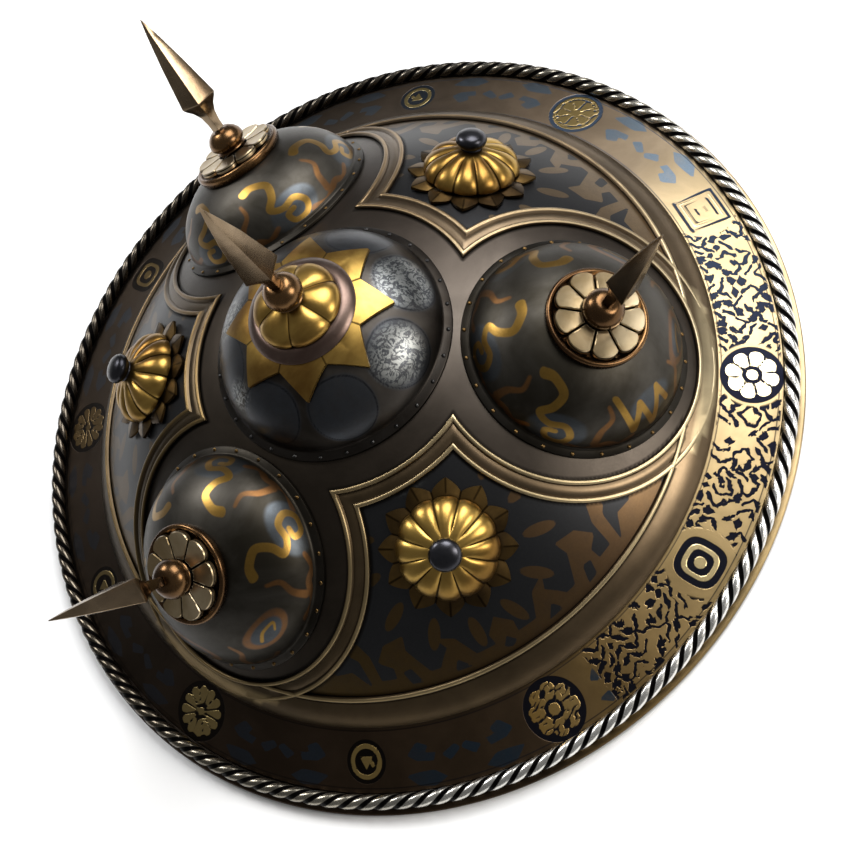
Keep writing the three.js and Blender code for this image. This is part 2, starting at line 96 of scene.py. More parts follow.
class Graph:
    """Short calls for the shader nodes that the finishes are made of."""

    def __init__(self, name: str) -> None:
        """Starts a material with a Principled shader.

        Args:
            name: the material's name.
        """
        self.material = bpy.data.materials.new(name)
        self.material.use_nodes = True
        self.tree = self.material.node_tree
        self.shader = self.tree.nodes["Principled BSDF"]
        self._object = None

    def node(self, kind: str, **settings: object) -> bpy.types.Node:
        """Adds a node.

        Args:
            kind: the node's type name.
            settings: properties set on it.

        Returns:
            The node.
        """
        made = self.tree.nodes.new(kind)
        for key, value in settings.items():
            setattr(made, key, value)
        return made

    def feed(self, socket: bpy.types.NodeSocket, value: object) -> None:
        """Links or sets a socket.

        Args:
            socket: the input.
            value: an output socket, a number or a colour.
        """
        if isinstance(value, bpy.types.NodeSocket):
            self.tree.links.new(value, socket)
        elif isinstance(value, tuple) and socket.type == "RGBA":
            socket.default_value = (*value, 1.0)
        else:
            socket.default_value = value

    def place(self) -> bpy.types.NodeSocket:
        """Returns the place on the piece, in its own coordinates.

        Returns:
            The socket.
        """
        if self._object is None:
            self._object = self.node("ShaderNodeTexCoord").outputs["Object"]
        return self._object

    def held(self, name: str) -> bpy.types.NodeSocket:
        """Returns a number kept on the mesh under this name."""
        return self.node("ShaderNodeAttribute", attribute_name=name).outputs["Fac"]

    def held_colour(self, name: str) -> bpy.types.NodeSocket:
        """Returns a colour kept on the mesh under this name."""
        return self.node("ShaderNodeAttribute", attribute_name=name).outputs["Color"]

    def colour(self, given: str) -> object:
        """Reads a colour.

        Args:
            given: a hex colour, or @ and the name of a colour kept on the mesh.

        Returns:
            A socket or three numbers.
        """
        return self.held_colour(given[1:]) if given.startswith("@") else tone(given)

    def scaled(self, colour: object, share: object) -> bpy.types.NodeSocket:
        """Returns the colour made darker or lighter by a factor.

        Args:
            colour: a colour or its socket.
            share: the factor or its socket.

        Returns:
            The socket of the result.
        """
        made = self.node("ShaderNodeVectorMath", operation="SCALE")
        self.feed(made.inputs[0], colour)
        self.feed(made.inputs["Scale"], share)
        return made.outputs[0]

    def math(self, operation: str, *values: object, clamp: bool = False) -> bpy.types.NodeSocket:
        """Works a sum.

        Args:
            operation: the Math node's operation.
            values: its inputs.
            clamp: keep the result from 0 to 1.

        Returns:
            The result.
        """
        made = self.node("ShaderNodeMath", operation=operation, use_clamp=clamp)
        for socket, value in zip(made.inputs, values):
            self.feed(socket, value)
        return made.outputs[0]

    def noise(
        self, scale: float, detail: float = 4.0, rough: float = 0.55, warp: float = 0.0
    ) -> bpy.types.NodeSocket:
        """Makes cloudy noise on the piece's own coordinates.

        Args:
            scale: waves per metre.
            detail: octaves.
            rough: weight of the fine octaves.
            warp: distortion.

        Returns:
            The noise, about 0.5.
        """
        made = self.node("ShaderNodeTexNoise")
        self.feed(made.inputs["Vector"], self.place())
        self.feed(made.inputs["Scale"], scale)
        self.feed(made.inputs["Detail"], detail)
        self.feed(made.inputs["Roughness"], rough)
        self.feed(made.inputs["Distortion"], warp)
        return made.outputs[0]

    def step(self, value: object, low: float, high: float) -> bpy.types.NodeSocket:
        """Rises smoothly from 0 to 1 as value goes from low to high.

        Args:
            value: what is tested.
            low: where the rise starts.
            high: where it ends.

        Returns:
            The share.
        """
        made = self.node("ShaderNodeMapRange", interpolation_type="SMOOTHSTEP")
        for name, given in (("Value", value), ("From Min", low), ("From Max", high)):
            self.feed(made.inputs[name], given)
        return made.outputs["Result"]

    def mix(self, share: object, under: object, over: object) -> bpy.types.NodeSocket:
        """Mixes two colours.

        Args:
            share: how much of the upper one shows.
            under: the lower colour.
            over: the upper colour.

        Returns:
            The mixed colour.
        """
        made = self.node("ShaderNodeMix", data_type="RGBA")
        self.feed(made.inputs[0], share)
        self.feed(made.inputs[6], under)
        self.feed(made.inputs[7], over)
        return made.outputs[2]

    def blend(self, share: object, under: object, over: object) -> bpy.types.NodeSocket:
        """Mixes two numbers.

        Args:
            share: how much of the upper one counts.
            under: the lower number.
            over: the upper number.

        Returns:
            The mixed number.
        """
        made = self.node("ShaderNodeMix", data_type="FLOAT")
        self.feed(made.inputs[0], share)
        self.feed(made.inputs[2], under)
        self.feed(made.inputs[3], over)
        return made.outputs[0]


    def streaks(self, scale: float) -> bpy.types.NodeSocket:
        """Makes feathery engraved strokes.

        Args:
            scale: strokes per metre.

        Returns:
            The share of bright metal.
        """
        warped = self.noise(scale, 3.0, 0.5, 3.5)
        fine = self.noise(scale * 3.1, 2.0, 0.5, 1.5)
        both = self.math("ADD", self.math("MULTIPLY", warped, 0.7), self.math("MULTIPLY", fine, 0.3))
        return self.step(both, 0.44, 0.56)

    def maze(self, cells: int, pitch: float, start: float) -> bpy.types.NodeSocket:
        """Makes the fretwork of slanted bars and lozenges round the border.

        Args:
            cells: cells in a full turn.
            pitch: height of a row of cells.
            start: radius of the first row.

        Returns:
            The share of dark inlay.
        """
        split = self.node("ShaderNodeSeparateXYZ")
        self.feed(split.inputs[0], self.place())
        x, y = split.outputs[0], split.outputs[1]
        radius = self.math("SQRT", self.math("ADD", self.math("MULTIPLY", x, x), self.math("MULTIPLY", y, y)))
        sway = self.math("MULTIPLY", self.math("SUBTRACT", self.noise(95.0, 2.0), 0.5), 1.5)
        drift = self.math("MULTIPLY", self.math("SUBTRACT", self.noise(120.0, 2.0, 0.5, 0.8), 0.5), 1.7)
        along = self.math("MULTIPLY", self.math("ARCTAN2", y, x), cells / TAU)
        across = self.math("DIVIDE", self.math("SUBTRACT", radius, start), pitch)
        along, across = self.math("ADD", along, sway), self.math("ADD", across, drift)
        column, row = self.math("FLOOR", along), self.math("FLOOR", across)
        u = self.math("SUBTRACT", self.math("SUBTRACT", along, column), 0.5)
        v = self.math("SUBTRACT", self.math("SUBTRACT", across, row), 0.5)
        cell = self.node("ShaderNodeCombineXYZ")
        self.feed(cell.inputs[0], column)
        self.feed(cell.inputs[1], row)
        chance = self.node("ShaderNodeTexWhiteNoise", noise_dimensions="3D")
        self.feed(chance.inputs["Vector"], cell.outputs[0])
        parts = self.node("ShaderNodeSeparateColor")
        self.feed(parts.inputs[0], chance.outputs["Color"])
        first, second, third = parts.outputs[0], parts.outputs[1], parts.outputs[2]
        side = self.math("SUBTRACT", self.math("MULTIPLY", self.math("GREATER_THAN", first, 0.5), 2.0), 1.0)
        slant = self.math("ABSOLUTE", self.math("SUBTRACT", self.math("MULTIPLY", u, side), v))
        bar = self.math("MULTIPLY", self.step(slant, 0.27, 0.19), self.math("GREATER_THAN", second, 0.22))
        size = self.math("ADD", 0.18, self.math("MULTIPLY", third, 0.34))
        lozenge = self.math("ADD", self.math("ABSOLUTE", u), self.math("ABSOLUTE", v))
        blot = self.step(self.math("SUBTRACT", lozenge, size), 0.05, -0.05)
        blot = self.math("MULTIPLY", blot, self.math("GREATER_THAN", third, 0.55))
        return self.math("MAXIMUM", bar, blot)


class Kind(Enum):
    """How a layer fills its shape."""

    PLAIN = "plain"
    FEATHERED = "feathered"
    FRETTED = "fretted"


@dataclass(frozen=True)
class Layer:
    """A colour that shows where a number kept on the mesh is above a level.

    The numbers are distances in millimetres, positive inside the shape. A colour
    that starts with @ is itself kept on the mesh.
    """

    held: str
    colour: str
    roughness: float = 0.3
    level: float = 0.0
    soft: float = 0.2
    strength: float = 1.0
    worn: float = 0.0
    relief: float = 0.0
    kind: Kind = Kind.PLAIN


@dataclass(frozen=True)
class Metal:
    """A metal finish with clouded tone, fine scratches and layers of inlay; a kept tone can replace the clouded
    one, carrying painted light.
    """

    name: str
    light: str
    dark: str
    roughness: float = 0.32
    spread: float = 0.12
    cloud: float = 22.0
    grain: float = 900.0
    hammered: float = 0.05
    scratched: float = 0.012
    held_tone_and_light: str = ""
    layers: tuple[Layer, ...] = ()

    def build(self) -> bpy.types.Material:
        """Makes the material.

        Returns:
            The material, with procedural colour, roughness and bump.
        """
        graph = Graph(self.name)
        cloud = graph.step(graph.noise(self.cloud, 5.0, 0.6, 0.4), 0.32, 0.68)
        grain = graph.noise(self.grain, 3.0, 0.6)
        colour = graph.mix(cloud, graph.colour(self.dark), graph.colour(self.light))
        # A colour kept on the mesh replaces the clouded one where given; those kept colours carry painted light
        # that changes with azimuth.
        if self.held_tone_and_light:
            colour = graph.scaled(graph.held_colour(self.held_tone_and_light), graph.blend(cloud, 0.68, 1.04))
        rough = graph.math(
            "ADD", self.roughness - self.spread / 2, graph.math("MULTIPLY", grain, self.spread)
        )
        height = graph.math("MULTIPLY", graph.noise(self.cloud * 3, 2.0), self.hammered)
        height = graph.math("ADD", height, graph.math("MULTIPLY", grain, self.scratched))
        for layer in self.layers:
            share = graph.step(graph.held(layer.held), layer.level - layer.soft, layer.level + layer.soft)
            wear = graph.step(graph.noise(140.0, 5.0, 0.65), 0.3, 0.62)
            keep = graph.math(
                "SUBTRACT", layer.strength,
                graph.math("MULTIPLY", graph.math("SUBTRACT", 1.0, wear), layer.worn)
            )
            share = graph.math("MULTIPLY", share, keep, clamp=True)
            if layer.kind is Kind.FEATHERED:
                share = graph.math("MULTIPLY", share, graph.streaks(170.0))
            elif layer.kind is Kind.FRETTED:
                share = graph.math("MULTIPLY", share, graph.maze(216, 5.2 * MM, 179 * MM))
            shaded = graph.scaled(graph.colour(layer.colour), graph.blend(grain, 0.82, 1.12))
            colour = graph.mix(share, colour, shaded)
            rough = graph.blend(share, rough, layer.roughness)
            if layer.relief:
                height = graph.math("ADD", height, graph.math("MULTIPLY", share, layer.relief))
        bump = graph.node("ShaderNodeBump")
        graph.feed(bump.inputs["Distance"], MM)
        graph.feed(bump.inputs["Height"], height)
        graph.feed(graph.shader.inputs["Base Color"], colour)
        graph.feed(graph.shader.inputs["Roughness"], rough)
        graph.feed(graph.shader.inputs["Normal"], bump.outputs["Normal"])
        graph.shader.inputs["Metallic"].default_value = 1.0
        return graph.material


# ---- modelling -------------------------------------------------------------------


def smooth(share: Field) -> Field:
    """Eases a share from 0 to 1, clipped at both ends."""
    share = np.clip(share, 0.0, 1.0)
    return share * share * (3 - 2 * share)


def deselect() -> None:
    """Leaves edit mode and clears the selection."""
    if bpy.context.object and bpy.context.object.mode != "OBJECT":
        bpy.ops.object.mode_set(mode="OBJECT")
    bpy.ops.object.select_all(action="DESELECT")


def select(piece: bpy.types.Object) -> None:
    """Makes one piece the only selected and active one.

    Args:
        piece: the piece.
    """
    deselect()
    piece.select_set(True)
    bpy.context.view_layer.objects.active = piece


def points_of(piece: bpy.types.Object) -> Field:
    """Returns the piece's points as rows of three, in metres.

    Args:
        piece: the piece.

    Returns:
        The rows.
    """
    flat = np.zeros(len(piece.data.vertices) * 3, np.float32)
    piece.data.vertices.foreach_get("co", flat)
    return flat.reshape(-1, 3).astype(float)


def put_points(piece: bpy.types.Object, points: Field) -> None:
    """Moves the piece's points to these rows of three."""
    piece.data.vertices.foreach_set("co", points.astype(np.float32).ravel())
    piece.data.update()


def keep(piece: bpy.types.Object, name: str, values: Field) -> None:
    """Keeps one number for each point of the piece, for its finish to read."""
    store = piece.data.attributes.new(name, "FLOAT", "POINT")
    store.data.foreach_set("value", np.asarray(values, np.float32))


def keep_colour(piece: bpy.types.Object, name: str, rows: Field) -> None:
    """Keeps one colour for each point of the piece, for its finish to read."""
    store = piece.data.attributes.new(name, "FLOAT_COLOR", "POINT")
    store.data.foreach_set("color", np.column_stack([rows, np.ones(len(rows))]).astype(np.float32).ravel())


def shades(place: Field, stops: Sequence[tuple[float, str]]) -> Field:
    """Blends colours along a line.

    Args:
        place: each point's place on the line.
        stops: places, in order, and their hex colours.

    Returns:
        One colour for each point.
    """
    marks = [stop[0] for stop in stops]
    colours = np.array([tone(stop[1]) for stop in stops])
    return np.stack([np.interp(place, marks, colours[:, i]) for i in range(3)], 1)


def curved(path: Sequence[tuple[float, float]], steps: int = 6) -> list[tuple[float, float]]:
    """Rounds a path through its points.

    Args:
        path: the points that it passes through.
        steps: steps between two of them.

    Returns:
        The points of the rounded path.
    """
    ends = np.array([path[0], *path, path[-1]], float)
    found = []
    for a, b, c, d in zip(ends, ends[1:], ends[2:], ends[3:]):
        for t in np.arange(steps) / steps:
            found.append(
                tuple(
                    0.5 * (
                        2 * b + (c - a) * t + (
                            2 * a - 5 * b + 4 * c - d
                        ) * t**2 + (3 * b - a - 3 * c + d) * t**3
                    )
                )
            )
    return [*found, tuple(ends[-1])]


def stroke(
    x: Field, y: Field, path: Sequence[tuple[float, float]], width: float, taper: float = 1.0
) -> Field:
    """Draws a line.

    Args:
        x: first coordinate of each point, in millimetres.
        y: second coordinate.
        path: the line's points.
        width: its width at its start.
        taper: its width at its end, as a share of that at its start.

    Returns:
        Distance inside the line's edge, below zero outside it.
    """
    best = np.full(x.shape, 1e3)
    pieces = len(path) - 1
    for i, ((ax, ay), (bx, by)) in enumerate(zip(path, path[1:])):
        dx, dy = bx - ax, by - ay
        t = np.clip(((x - ax) * dx + (y - ay) * dy) / max(dx * dx + dy * dy, 1e-9), 0, 1)
        half = width / 2 * (1 + (taper - 1) * (i + t) / pieces)
        best = np.minimum(best, np.hypot(x - ax - t * dx, y - ay - t * dy) - half)
    return -best


def polygon(x: Field, y: Field, corners: Sequence[tuple[float, float]]) -> Field:
    """Fills a polygon.

    Args:
        x: first coordinate of each point, in millimetres.
        y: second coordinate.
        corners: its corners in order.

    Returns:
        Distance inside its edge, below zero outside it.
    """
    inside = np.zeros(x.shape, bool)
    for (ax, ay), (bx, by) in zip(corners, [*corners[1:], corners[0]]):
        crossed = (ay > y) != (by > y)
        inside ^= crossed & (x < (bx - ax) * (y - ay) / (by - ay if by != ay else 1e-9) + ax)
    edge = -stroke(x, y, [*corners, corners[0]], 0.0)
    return np.where(inside, edge, -edge)


def ellipse(
    x: Field, y: Field, centre: tuple[float, float], half: tuple[float, float], turn: float = 0.0
) -> Field:
    """Fills an ellipse.

    Args:
        x: first coordinate of each point, in millimetres.
        y: second coordinate.
        centre: its centre.
        half: its half axes.
        turn: how far it is turned, in radians.

    Returns:
        About the distance inside its edge, below zero outside it.
    """
    dx, dy = x - centre[0], y - centre[1]
    along, across = dx * math.cos(turn) + dy * math.sin(turn), dy * math.cos(turn) - dx * math.sin(turn)
    return (1 - np.hypot(along / half[0], across / half[1])) * min(half)


def facet(piece: bpy.types.Object, degrees: float = 30.0) -> None:
    """Shades the piece smooth, apart from edges sharper than this angle."""
    select(piece)
    bpy.ops.object.shade_smooth_by_angle(angle=math.radians(degrees))


def lathe(name: str, profile: Profile, steps: int, closed: bool = False) -> bpy.types.Object:
    """Turns a profile about Z.

    Args:
        name: the piece's name.
        profile: radius and height pairs, in metres. A radius of zero is a pole.
        steps: steps in a full turn.
        closed: the profile closes on its first point.

    Returns:
        The turned solid, smooth where its profile is.
    """
    deselect()
    bpy.ops.mesh.primitive_plane_add(size=MM, location=(0, 0, 0))
    piece = bpy.context.object
    piece.name = name
    piece.data.name = name
    bpy.ops.object.mode_set(mode="EDIT")
    bpy.ops.mesh.select_all(action="SELECT")
    bpy.ops.mesh.merge(type="CENTER")
    radius, height = profile[0]
    bpy.ops.transform.translate(value=(radius, 0, height))
    for (r0, z0), (r1, z1) in zip(profile, profile[1:]):
        bpy.ops.mesh.extrude_region_move(TRANSFORM_OT_translate={"value": (r1 - r0, 0, z1 - z0)})
    if closed:
        bpy.ops.object.mode_set(mode="OBJECT")
        last = len(profile) - 1
        for vertex in piece.data.vertices:
            vertex.select = vertex.index in (0, last)
        bpy.ops.object.mode_set(mode="EDIT")
        bpy.ops.mesh.edge_face_add()
    bpy.ops.mesh.select_all(action="SELECT")
    bpy.ops.mesh.spin(steps=steps, angle=TAU, center=(0, 0, 0), axis=(0, 0, 1))
    bpy.ops.mesh.select_all(action="SELECT")
    bpy.ops.mesh.remove_doubles(threshold=0.01 * MM)
    bpy.ops.mesh.normals_make_consistent(inside=False)
    bpy.ops.object.mode_set(mode="OBJECT")
    return piece


def woven_grid(name: str, rows: Sequence[Field]) -> bpy.types.Object:
    """Makes a closed ring of faces through rows of points, where turning can't.

    Args:
        name: the piece's name.
        rows: closed rows of equal length, the last of which joins the first.

    Returns:
        The solid.
    """
    points = np.concatenate(rows)
    count, length = len(rows), len(rows[0])
    i, j = np.meshgrid(np.arange(count), np.arange(length), indexing="ij")
    near, far = i * length, ((i + 1) % count) * length
    following = (j + 1) % length
    faces = np.stack([near + j, far + j, far + following, near + following], -1).reshape(-1, 4)
    data = bpy.data.meshes.new(name)
    data.from_pydata(points.tolist(), [], faces.tolist())
    piece = bpy.data.objects.new(name, data)
    bpy.context.scene.collection.objects.link(piece)
    select(piece)
    bpy.ops.object.mode_set(mode="EDIT")
    bpy.ops.mesh.select_all(action="SELECT")
    bpy.ops.mesh.normals_make_consistent(inside=False)
    bpy.ops.object.mode_set(mode="OBJECT")
    return piece


def bevelled(piece: bpy.types.Object, width: float, segments: int = 2, degrees: float = 30.0) -> None:
    """Rounds the piece's sharp edges.

    Args:
        piece: what is bevelled.
        width: the bevel's width in metres.
        segments: steps across it.
        degrees: edges sharper than this are rounded.
    """
    select(piece)
    bevel = piece.modifiers.new("edge", "BEVEL")
    bevel.width = width
    bevel.segments = segments
    bevel.limit_method = "ANGLE"
    bevel.angle_limit = math.radians(degrees)
    bpy.ops.object.modifier_apply(modifier=bevel.name)


def combined(piece: bpy.types.Object, other: bpy.types.Object, operation: str) -> None:
    """Joins, cuts or crosses two solids, and removes the second.

    Args:
        piece: the solid that is kept.
        other: the solid that it is combined with.
        operation: UNION, DIFFERENCE or INTERSECT.
    """
    select(piece)
    boolean = piece.modifiers.new("join", "BOOLEAN")
    boolean.operation = operation
    boolean.object = other
    boolean.solver = "EXACT"
    bpy.ops.object.modifier_apply(modifier=boolean.name)
    bpy.data.objects.remove(other)


def joined(pieces: Sequence[bpy.types.Object]) -> bpy.types.Object:
    """Joins several meshes into the first, which it returns.

    Args:
        pieces: what to join, the first one first.

    Returns:
        The joined piece.
    """
    deselect()
    for piece in pieces:
        piece.select_set(True)
    bpy.context.view_layer.objects.active = pieces[0]
    bpy.ops.object.join()
    return pieces[0]


def copied(piece: bpy.types.Object, name: str) -> bpy.types.Object:
    """Returns a copy of the piece with a mesh of its own.

    Args:
        piece: the piece.
        name: the copy's name.

    Returns:
        The copy.
    """
    twin = piece.copy()
    twin.data = piece.data.copy()
    twin.name = name
    twin.data.name = name
    bpy.context.scene.collection.objects.link(twin)
    return twin


def dome_profile(across: float, up: float, steps: int, foot: float = 0.0) -> list[tuple[float, float]]:
    """Lists a quarter ellipse from its pole down to its base.

    Args:
        across: radius at the base.
        up: height of the pole.
        steps: steps along it.
        foot: height added all along.

    Returns:
        Radius and height pairs.
    """
    angles = np.linspace(math.pi / 2, 0, steps + 1)
    pairs = [(across * math.cos(a), up * math.sin(a) + foot) for a in angles]
    pairs[0] = (0.0, up + foot)
    return pairs


# ---- the dish and places on it ------------------------------------------------------


@dataclass(frozen=True)
class Place:
    """A place on the dish: tilt from the top, turn about Z and height of the seat."""

    polar: float
    azimuth: float
    distance: float
    lean: float = 0.0


@dataclass(frozen=True)
class Dish:
    """The sphere that the middle of the shield is dished to."""

    radius: float = 226.6 * MM
    top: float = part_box("plate")[1].z
    edge_radius: float = 178.2 * MM
    gap: float = 0.5 * MM

    @property
    def centre_z(self) -> float:
        """Height of the sphere's centre."""
        return self.top - self.radius

    @property
    def edge_polar(self) -> float:
        """Tilt at which the dish turns into the border."""
        return math.asin(self.edge_radius / self.radius)

    def chord(self, radius: float) -> float:
        """Returns how far the chord plane of a circle on the dish is from its centre."""
        return math.sqrt(self.radius**2 - radius**2)

    def drop(self, radius: float) -> float:
        """Returns how far the dish, with the fitting gap, lies below its pole here."""
        return math.sqrt((self.radius + self.gap) ** 2 - radius**2) - self.radius

    def axes(self, polar: float, azimuth: float) -> tuple[Field, Field, Field]:
        """Returns the outward, downhill and sideways unit vectors at a place."""
        sp, cp, sa, ca = math.sin(polar), math.cos(polar), math.sin(azimuth), math.cos(azimuth)
        return np.array([sp * ca, sp * sa, cp]), np.array([cp * ca, cp * sa, -sp]), np.array([-sa, ca, 0.0])

    def seat(self, piece: bpy.types.Object, place: Place) -> bpy.types.Object:
        """Moves a piece made about Z to its place on the dish.

        Args:
            piece: the piece, which stands on z = 0.
            place: where it goes.

        Returns:
            The same piece, its object still at the origin.
        """
        out, down, side = self.axes(place.polar, place.azimuth)
        cl, sl = math.cos(place.lean), math.sin(place.lean)
        up, fall = out * cl + down * sl, down * cl - out * sl
        spot = np.array([0, 0, self.centre_z]) + out * place.distance
        columns = np.stack([fall, side, up, spot], 1)
        piece.data.transform(Matrix([*columns.tolist(), [0, 0, 0, 1]]))
        piece.data.update()
        return piece

    def spread(self, points: Field, polar: float, azimuth: float) -> Field:
        """Returns each point's angle, seen from the dish's centre, from a place.

        Args:
            points: points in metres, one a row.
            polar: tilt from the shield's axis.
            azimuth: turn about that axis.

        Returns:
            The angles in radians.
        """
        out, _, _ = self.axes(polar, azimuth)
        rays = points - np.array([0, 0, self.centre_z])
        rays /= np.linalg.norm(rays, axis=1)[:, None]
        return np.arccos(np.clip(rays @ out, -1, 1))


DISH = Dish()
OUTER_AZIMUTHS = {"right": 0.0, "upper_left": TAU / 3, "lower_left": 2 * TAU / 3}
BOSS_AZIMUTHS = {"top": TAU / 6, "left": TAU / 2, "bottom": 5 * TAU / 6}


@dataclass(frozen=True)
class Outline:
    """The outline of four overlapping circles that the moulding follows."""

    middle: float = math.radians(19.9)
    outer: float = math.radians(17.5)
    outer_polar: float = math.radians(31.0)

    def offset(self, points: Field) -> Field:
        """Returns how far each point lies outside the outline, in metres.

        Args:
            points: points in metres, one a row.

        Returns:
            The distances, below nought inside.
        """
        found = DISH.spread(points, 0.0, 0.0) - self.middle
        for azimuth in OUTER_AZIMUTHS.values():
            found = np.minimum(found, DISH.spread(points, self.outer_polar, azimuth) - self.outer)
        return found * DISH.radius

    def row(self, offset: float, height: float, outer_steps: int, middle_steps: int) -> Field:
        """Lists one closed row of points round the outline.

        Args:
            offset: distance outside the outline.
            height: height above the dish.
            outer_steps: steps on each outer arc.
            middle_steps: steps on each arc of the middle circle.

        Returns:
            The points, with a corner where two arcs meet.
        """
        middle, outer = self.middle + offset / DISH.radius, self.outer + offset / DISH.radius
        ct, st = math.cos(self.outer_polar), math.sin(self.outer_polar)
        half_turn = math.acos((math.cos(outer) * ct - math.cos(middle)) / (math.sin(outer) * st))
        half_azimuth = math.acos((math.cos(outer) - math.cos(middle) * ct) / (math.sin(middle) * st))
        found = []
        for azimuth in OUTER_AZIMUTHS.values():
            for turn in np.linspace(-half_turn, half_turn, outer_steps + 1):
                found.append(self._point(self.outer_polar, azimuth, outer, turn, height))
            along = np.linspace(azimuth + half_azimuth, azimuth + TAU / 3 - half_azimuth, middle_steps + 1)
            for turn in along[1:-1]:
                found.append(self._point(0.0, 0.0, middle, turn, height))
        return np.array(found)

    def _point(self, polar: float, azimuth: float, spread: float, turn: float, height: float) -> Field:
        """Returns the point at an angular distance and turn from an axis.

        Args:
            polar: tilt of the axis from the shield's own.
            azimuth: turn of the axis about the shield's own.
            spread: angular distance from the axis.
            turn: turn about the axis, from downhill.
            height: height above the dish.

        Returns:
            The point.
        """
        out, down, side = DISH.axes(polar, azimuth)
        ray = (
            out * math.cos(spread) + down * math.sin(spread)
            * math.cos(turn) + side * math.sin(spread) * math.sin(turn)
        )
        return ray * (DISH.radius + height) + np.array([0, 0, DISH.centre_z])


OUTLINE = Outline()


# ---- inlaid patterns --------------------------------------------------------------------


def fold(turn: Field, count: int) -> Field:
    """Returns each turn's place in its own sector, from -1 at one side to 1 at the other."""
    sector = TAU / count
    return (turn / sector - np.round(turn / sector)) * 2


def around(turn: Field, centre: float) -> Field:
    """Returns each turn measured from a centre, from minus a half turn to a half turn."""
    return (turn - centre + math.pi) % TAU - math.pi


class Medal(Enum):
    """The kinds of medallion on the border."""

    ROSETTE = "eight broad petals"
    BEADED = "eight petals with rings cut in them"
    FEATHERED = "twelve narrow petals"
    EYE = "a dot in a ring"
    SEAL = "a gilt ring round a small figure"
    SQUARE = "two squares, one in the other"
    DISC = "a plain disc in a dark ring"


@dataclass(frozen=True)
class BorderInlay:
    """The twelve medallions on the border and the panels between them."""

    middle: float = 194.7
    reach: float = 15.0
    kinds: tuple[Medal, ...] = (
        Medal.ROSETTE, Medal.SQUARE, Medal.DISC, Medal.SEAL, Medal.DISC, Medal.EYE,
        Medal.FEATHERED, Medal.SEAL, Medal.FEATHERED, Medal.SEAL, Medal.BEADED, Medal.EYE,
    )

    def medal(self, kind: Medal, x: Field, y: Field) -> tuple[Field, Field]:
        """Draws one medallion.

        Args:
            kind: which one.
            x: distance along the border from its centre, in millimetres.
            y: distance outward from its centre.

        Returns:
            Its dark ground and the bright figures on it.
        """
        radius, turn = np.hypot(x, y), np.arctan2(y, x)
        full = self.reach
        if kind is Medal.DISC:
            spokes = 0.5 - np.abs(fold(turn, 8)) * radius * TAU / 16
            veins = np.minimum(spokes, np.minimum(radius - 2.6, 9.6 - radius))
            rings = np.maximum(1.1 - np.abs(radius - full * 0.93), 0.5 - np.abs(radius - 10.6))
            dark = np.maximum(rings, veins)
            return dark, np.minimum(full * 0.86 - radius, -dark)
        if kind is Medal.SQUARE:
            square = np.maximum(np.abs(x), np.abs(y))
            rings = np.maximum(0.75 - np.abs(square - 10.5), 0.55 - np.abs(square - 6.2))
            return np.maximum(rings, 0.5 - np.abs(square - 2.4)), np.minimum(8.5 - square, square - 7.7)
        if kind is Medal.EYE:
            blunt = (np.abs(x) ** 3 + np.abs(y) ** 3) ** (1 / 3)
            return 11.4 - blunt, np.maximum(3.0 - radius, 1.15 - np.abs(blunt - 7.0))
        if kind is Medal.SEAL:
            sprig = np.maximum(
                polygon(x, y, [(-3.6, -2.4), (3.6, -2.4), (0, 3.8)]),
                ellipse(x, y, (3.4, 1.2), (2.2, 1.0), 0.9)
            )
            return 10.6 - radius, np.maximum(1.1 - np.abs(radius - 7.4), sprig)
        count, inner = (12, 3.4) if kind is Medal.FEATHERED else (8, 4.9)
        outer = 13.0
        side = np.abs(fold(turn - 0.2, count))
        half = radius * TAU / count / 2
        blade = np.minimum(
            (1 - side) * half - 0.55, np.minimum(radius - inner, outer - radius - 2.6 * side**2.5)
        )
        figures = np.maximum(blade, 2.9 - radius if kind is not Medal.FEATHERED else 2.0 - radius)
        if kind is Medal.BEADED:
            centre_gap = np.hypot(radius - 9.6, side * half)
            figures = np.where(radius > 4, np.minimum(figures, np.abs(centre_gap - 1.9) - 0.42), figures)
        return full + 0.4 - radius, figures

    def panels(self, x: Field, y: Field) -> Field:
        """Draws the two slanted panels beside a medallion, in the same coordinates.

        Args:
            x: distance along, in millimetres.
            y: distance outward, in millimetres.

        Returns:
            The panels' field.
        """
        x = np.abs(x)
        lens = polygon(x, y, [(21, 6.5), (28, 11), (37, 10.5), (43, 6), (36, 3.2), (29, 4.4)])
        wedge = polygon(
            x, y, [(22, -3.0), (27, -9.5), (33, -8), (31.5, -4.6), (37, -5), (36, -1), (27, -0.6)]
        )
        bar = polygon(x, y, [(40, -4), (47, -9.5), (50, -7.5), (45, -1.5)])
        return np.maximum(lens, np.maximum(wedge, bar))

    def draw(self, radius: Field, azimuth: Field) -> dict[str, Field]:
        """Draws the whole border.

        Args:
            radius: each point's radius in millimetres.
            azimuth: each point's turn about Z.

        Returns:
            The fields ink, figure, panel, fret and line.
        """
        ink, figure, panel = (np.full(radius.shape, -50.0) for _ in range(3))
        near = np.full(radius.shape, 1e3)
        for index, kind in enumerate(self.kinds):
            turn = around(azimuth, index * TAU / 12)
            x, y = radius * np.sin(turn), radius * np.cos(turn) - self.middle
            dark, bright = self.medal(kind, x, y)
            panel = np.maximum(panel, np.where(np.abs(x) < 55, self.panels(x, y), -50))
            close = np.hypot(x, y)
            near = np.minimum(near, close)
            ink = np.where(close < 22, np.maximum(ink, dark), ink)
            figure = np.where(close < 22, np.maximum(figure, bright), figure)
        degrees = np.degrees(around(azimuth, 0.0))
        right = smooth((degrees + 58) / 12) * smooth((40 - degrees) / 16)
        band = np.minimum(radius - 179.6, 209.0 - radius)
        fret = np.minimum(np.minimum(band, near - 17.2), (right - 0.5) * 40)
        panel = np.minimum(panel, (0.5 - right) * 40)
        line = 0.5 - np.abs(radius - 180.0)
        line = np.maximum(line, 0.45 - np.abs(radius - 207.6))
        return {"ink": ink, "figure": figure, "panel": panel, "fret": fret, "line": line}


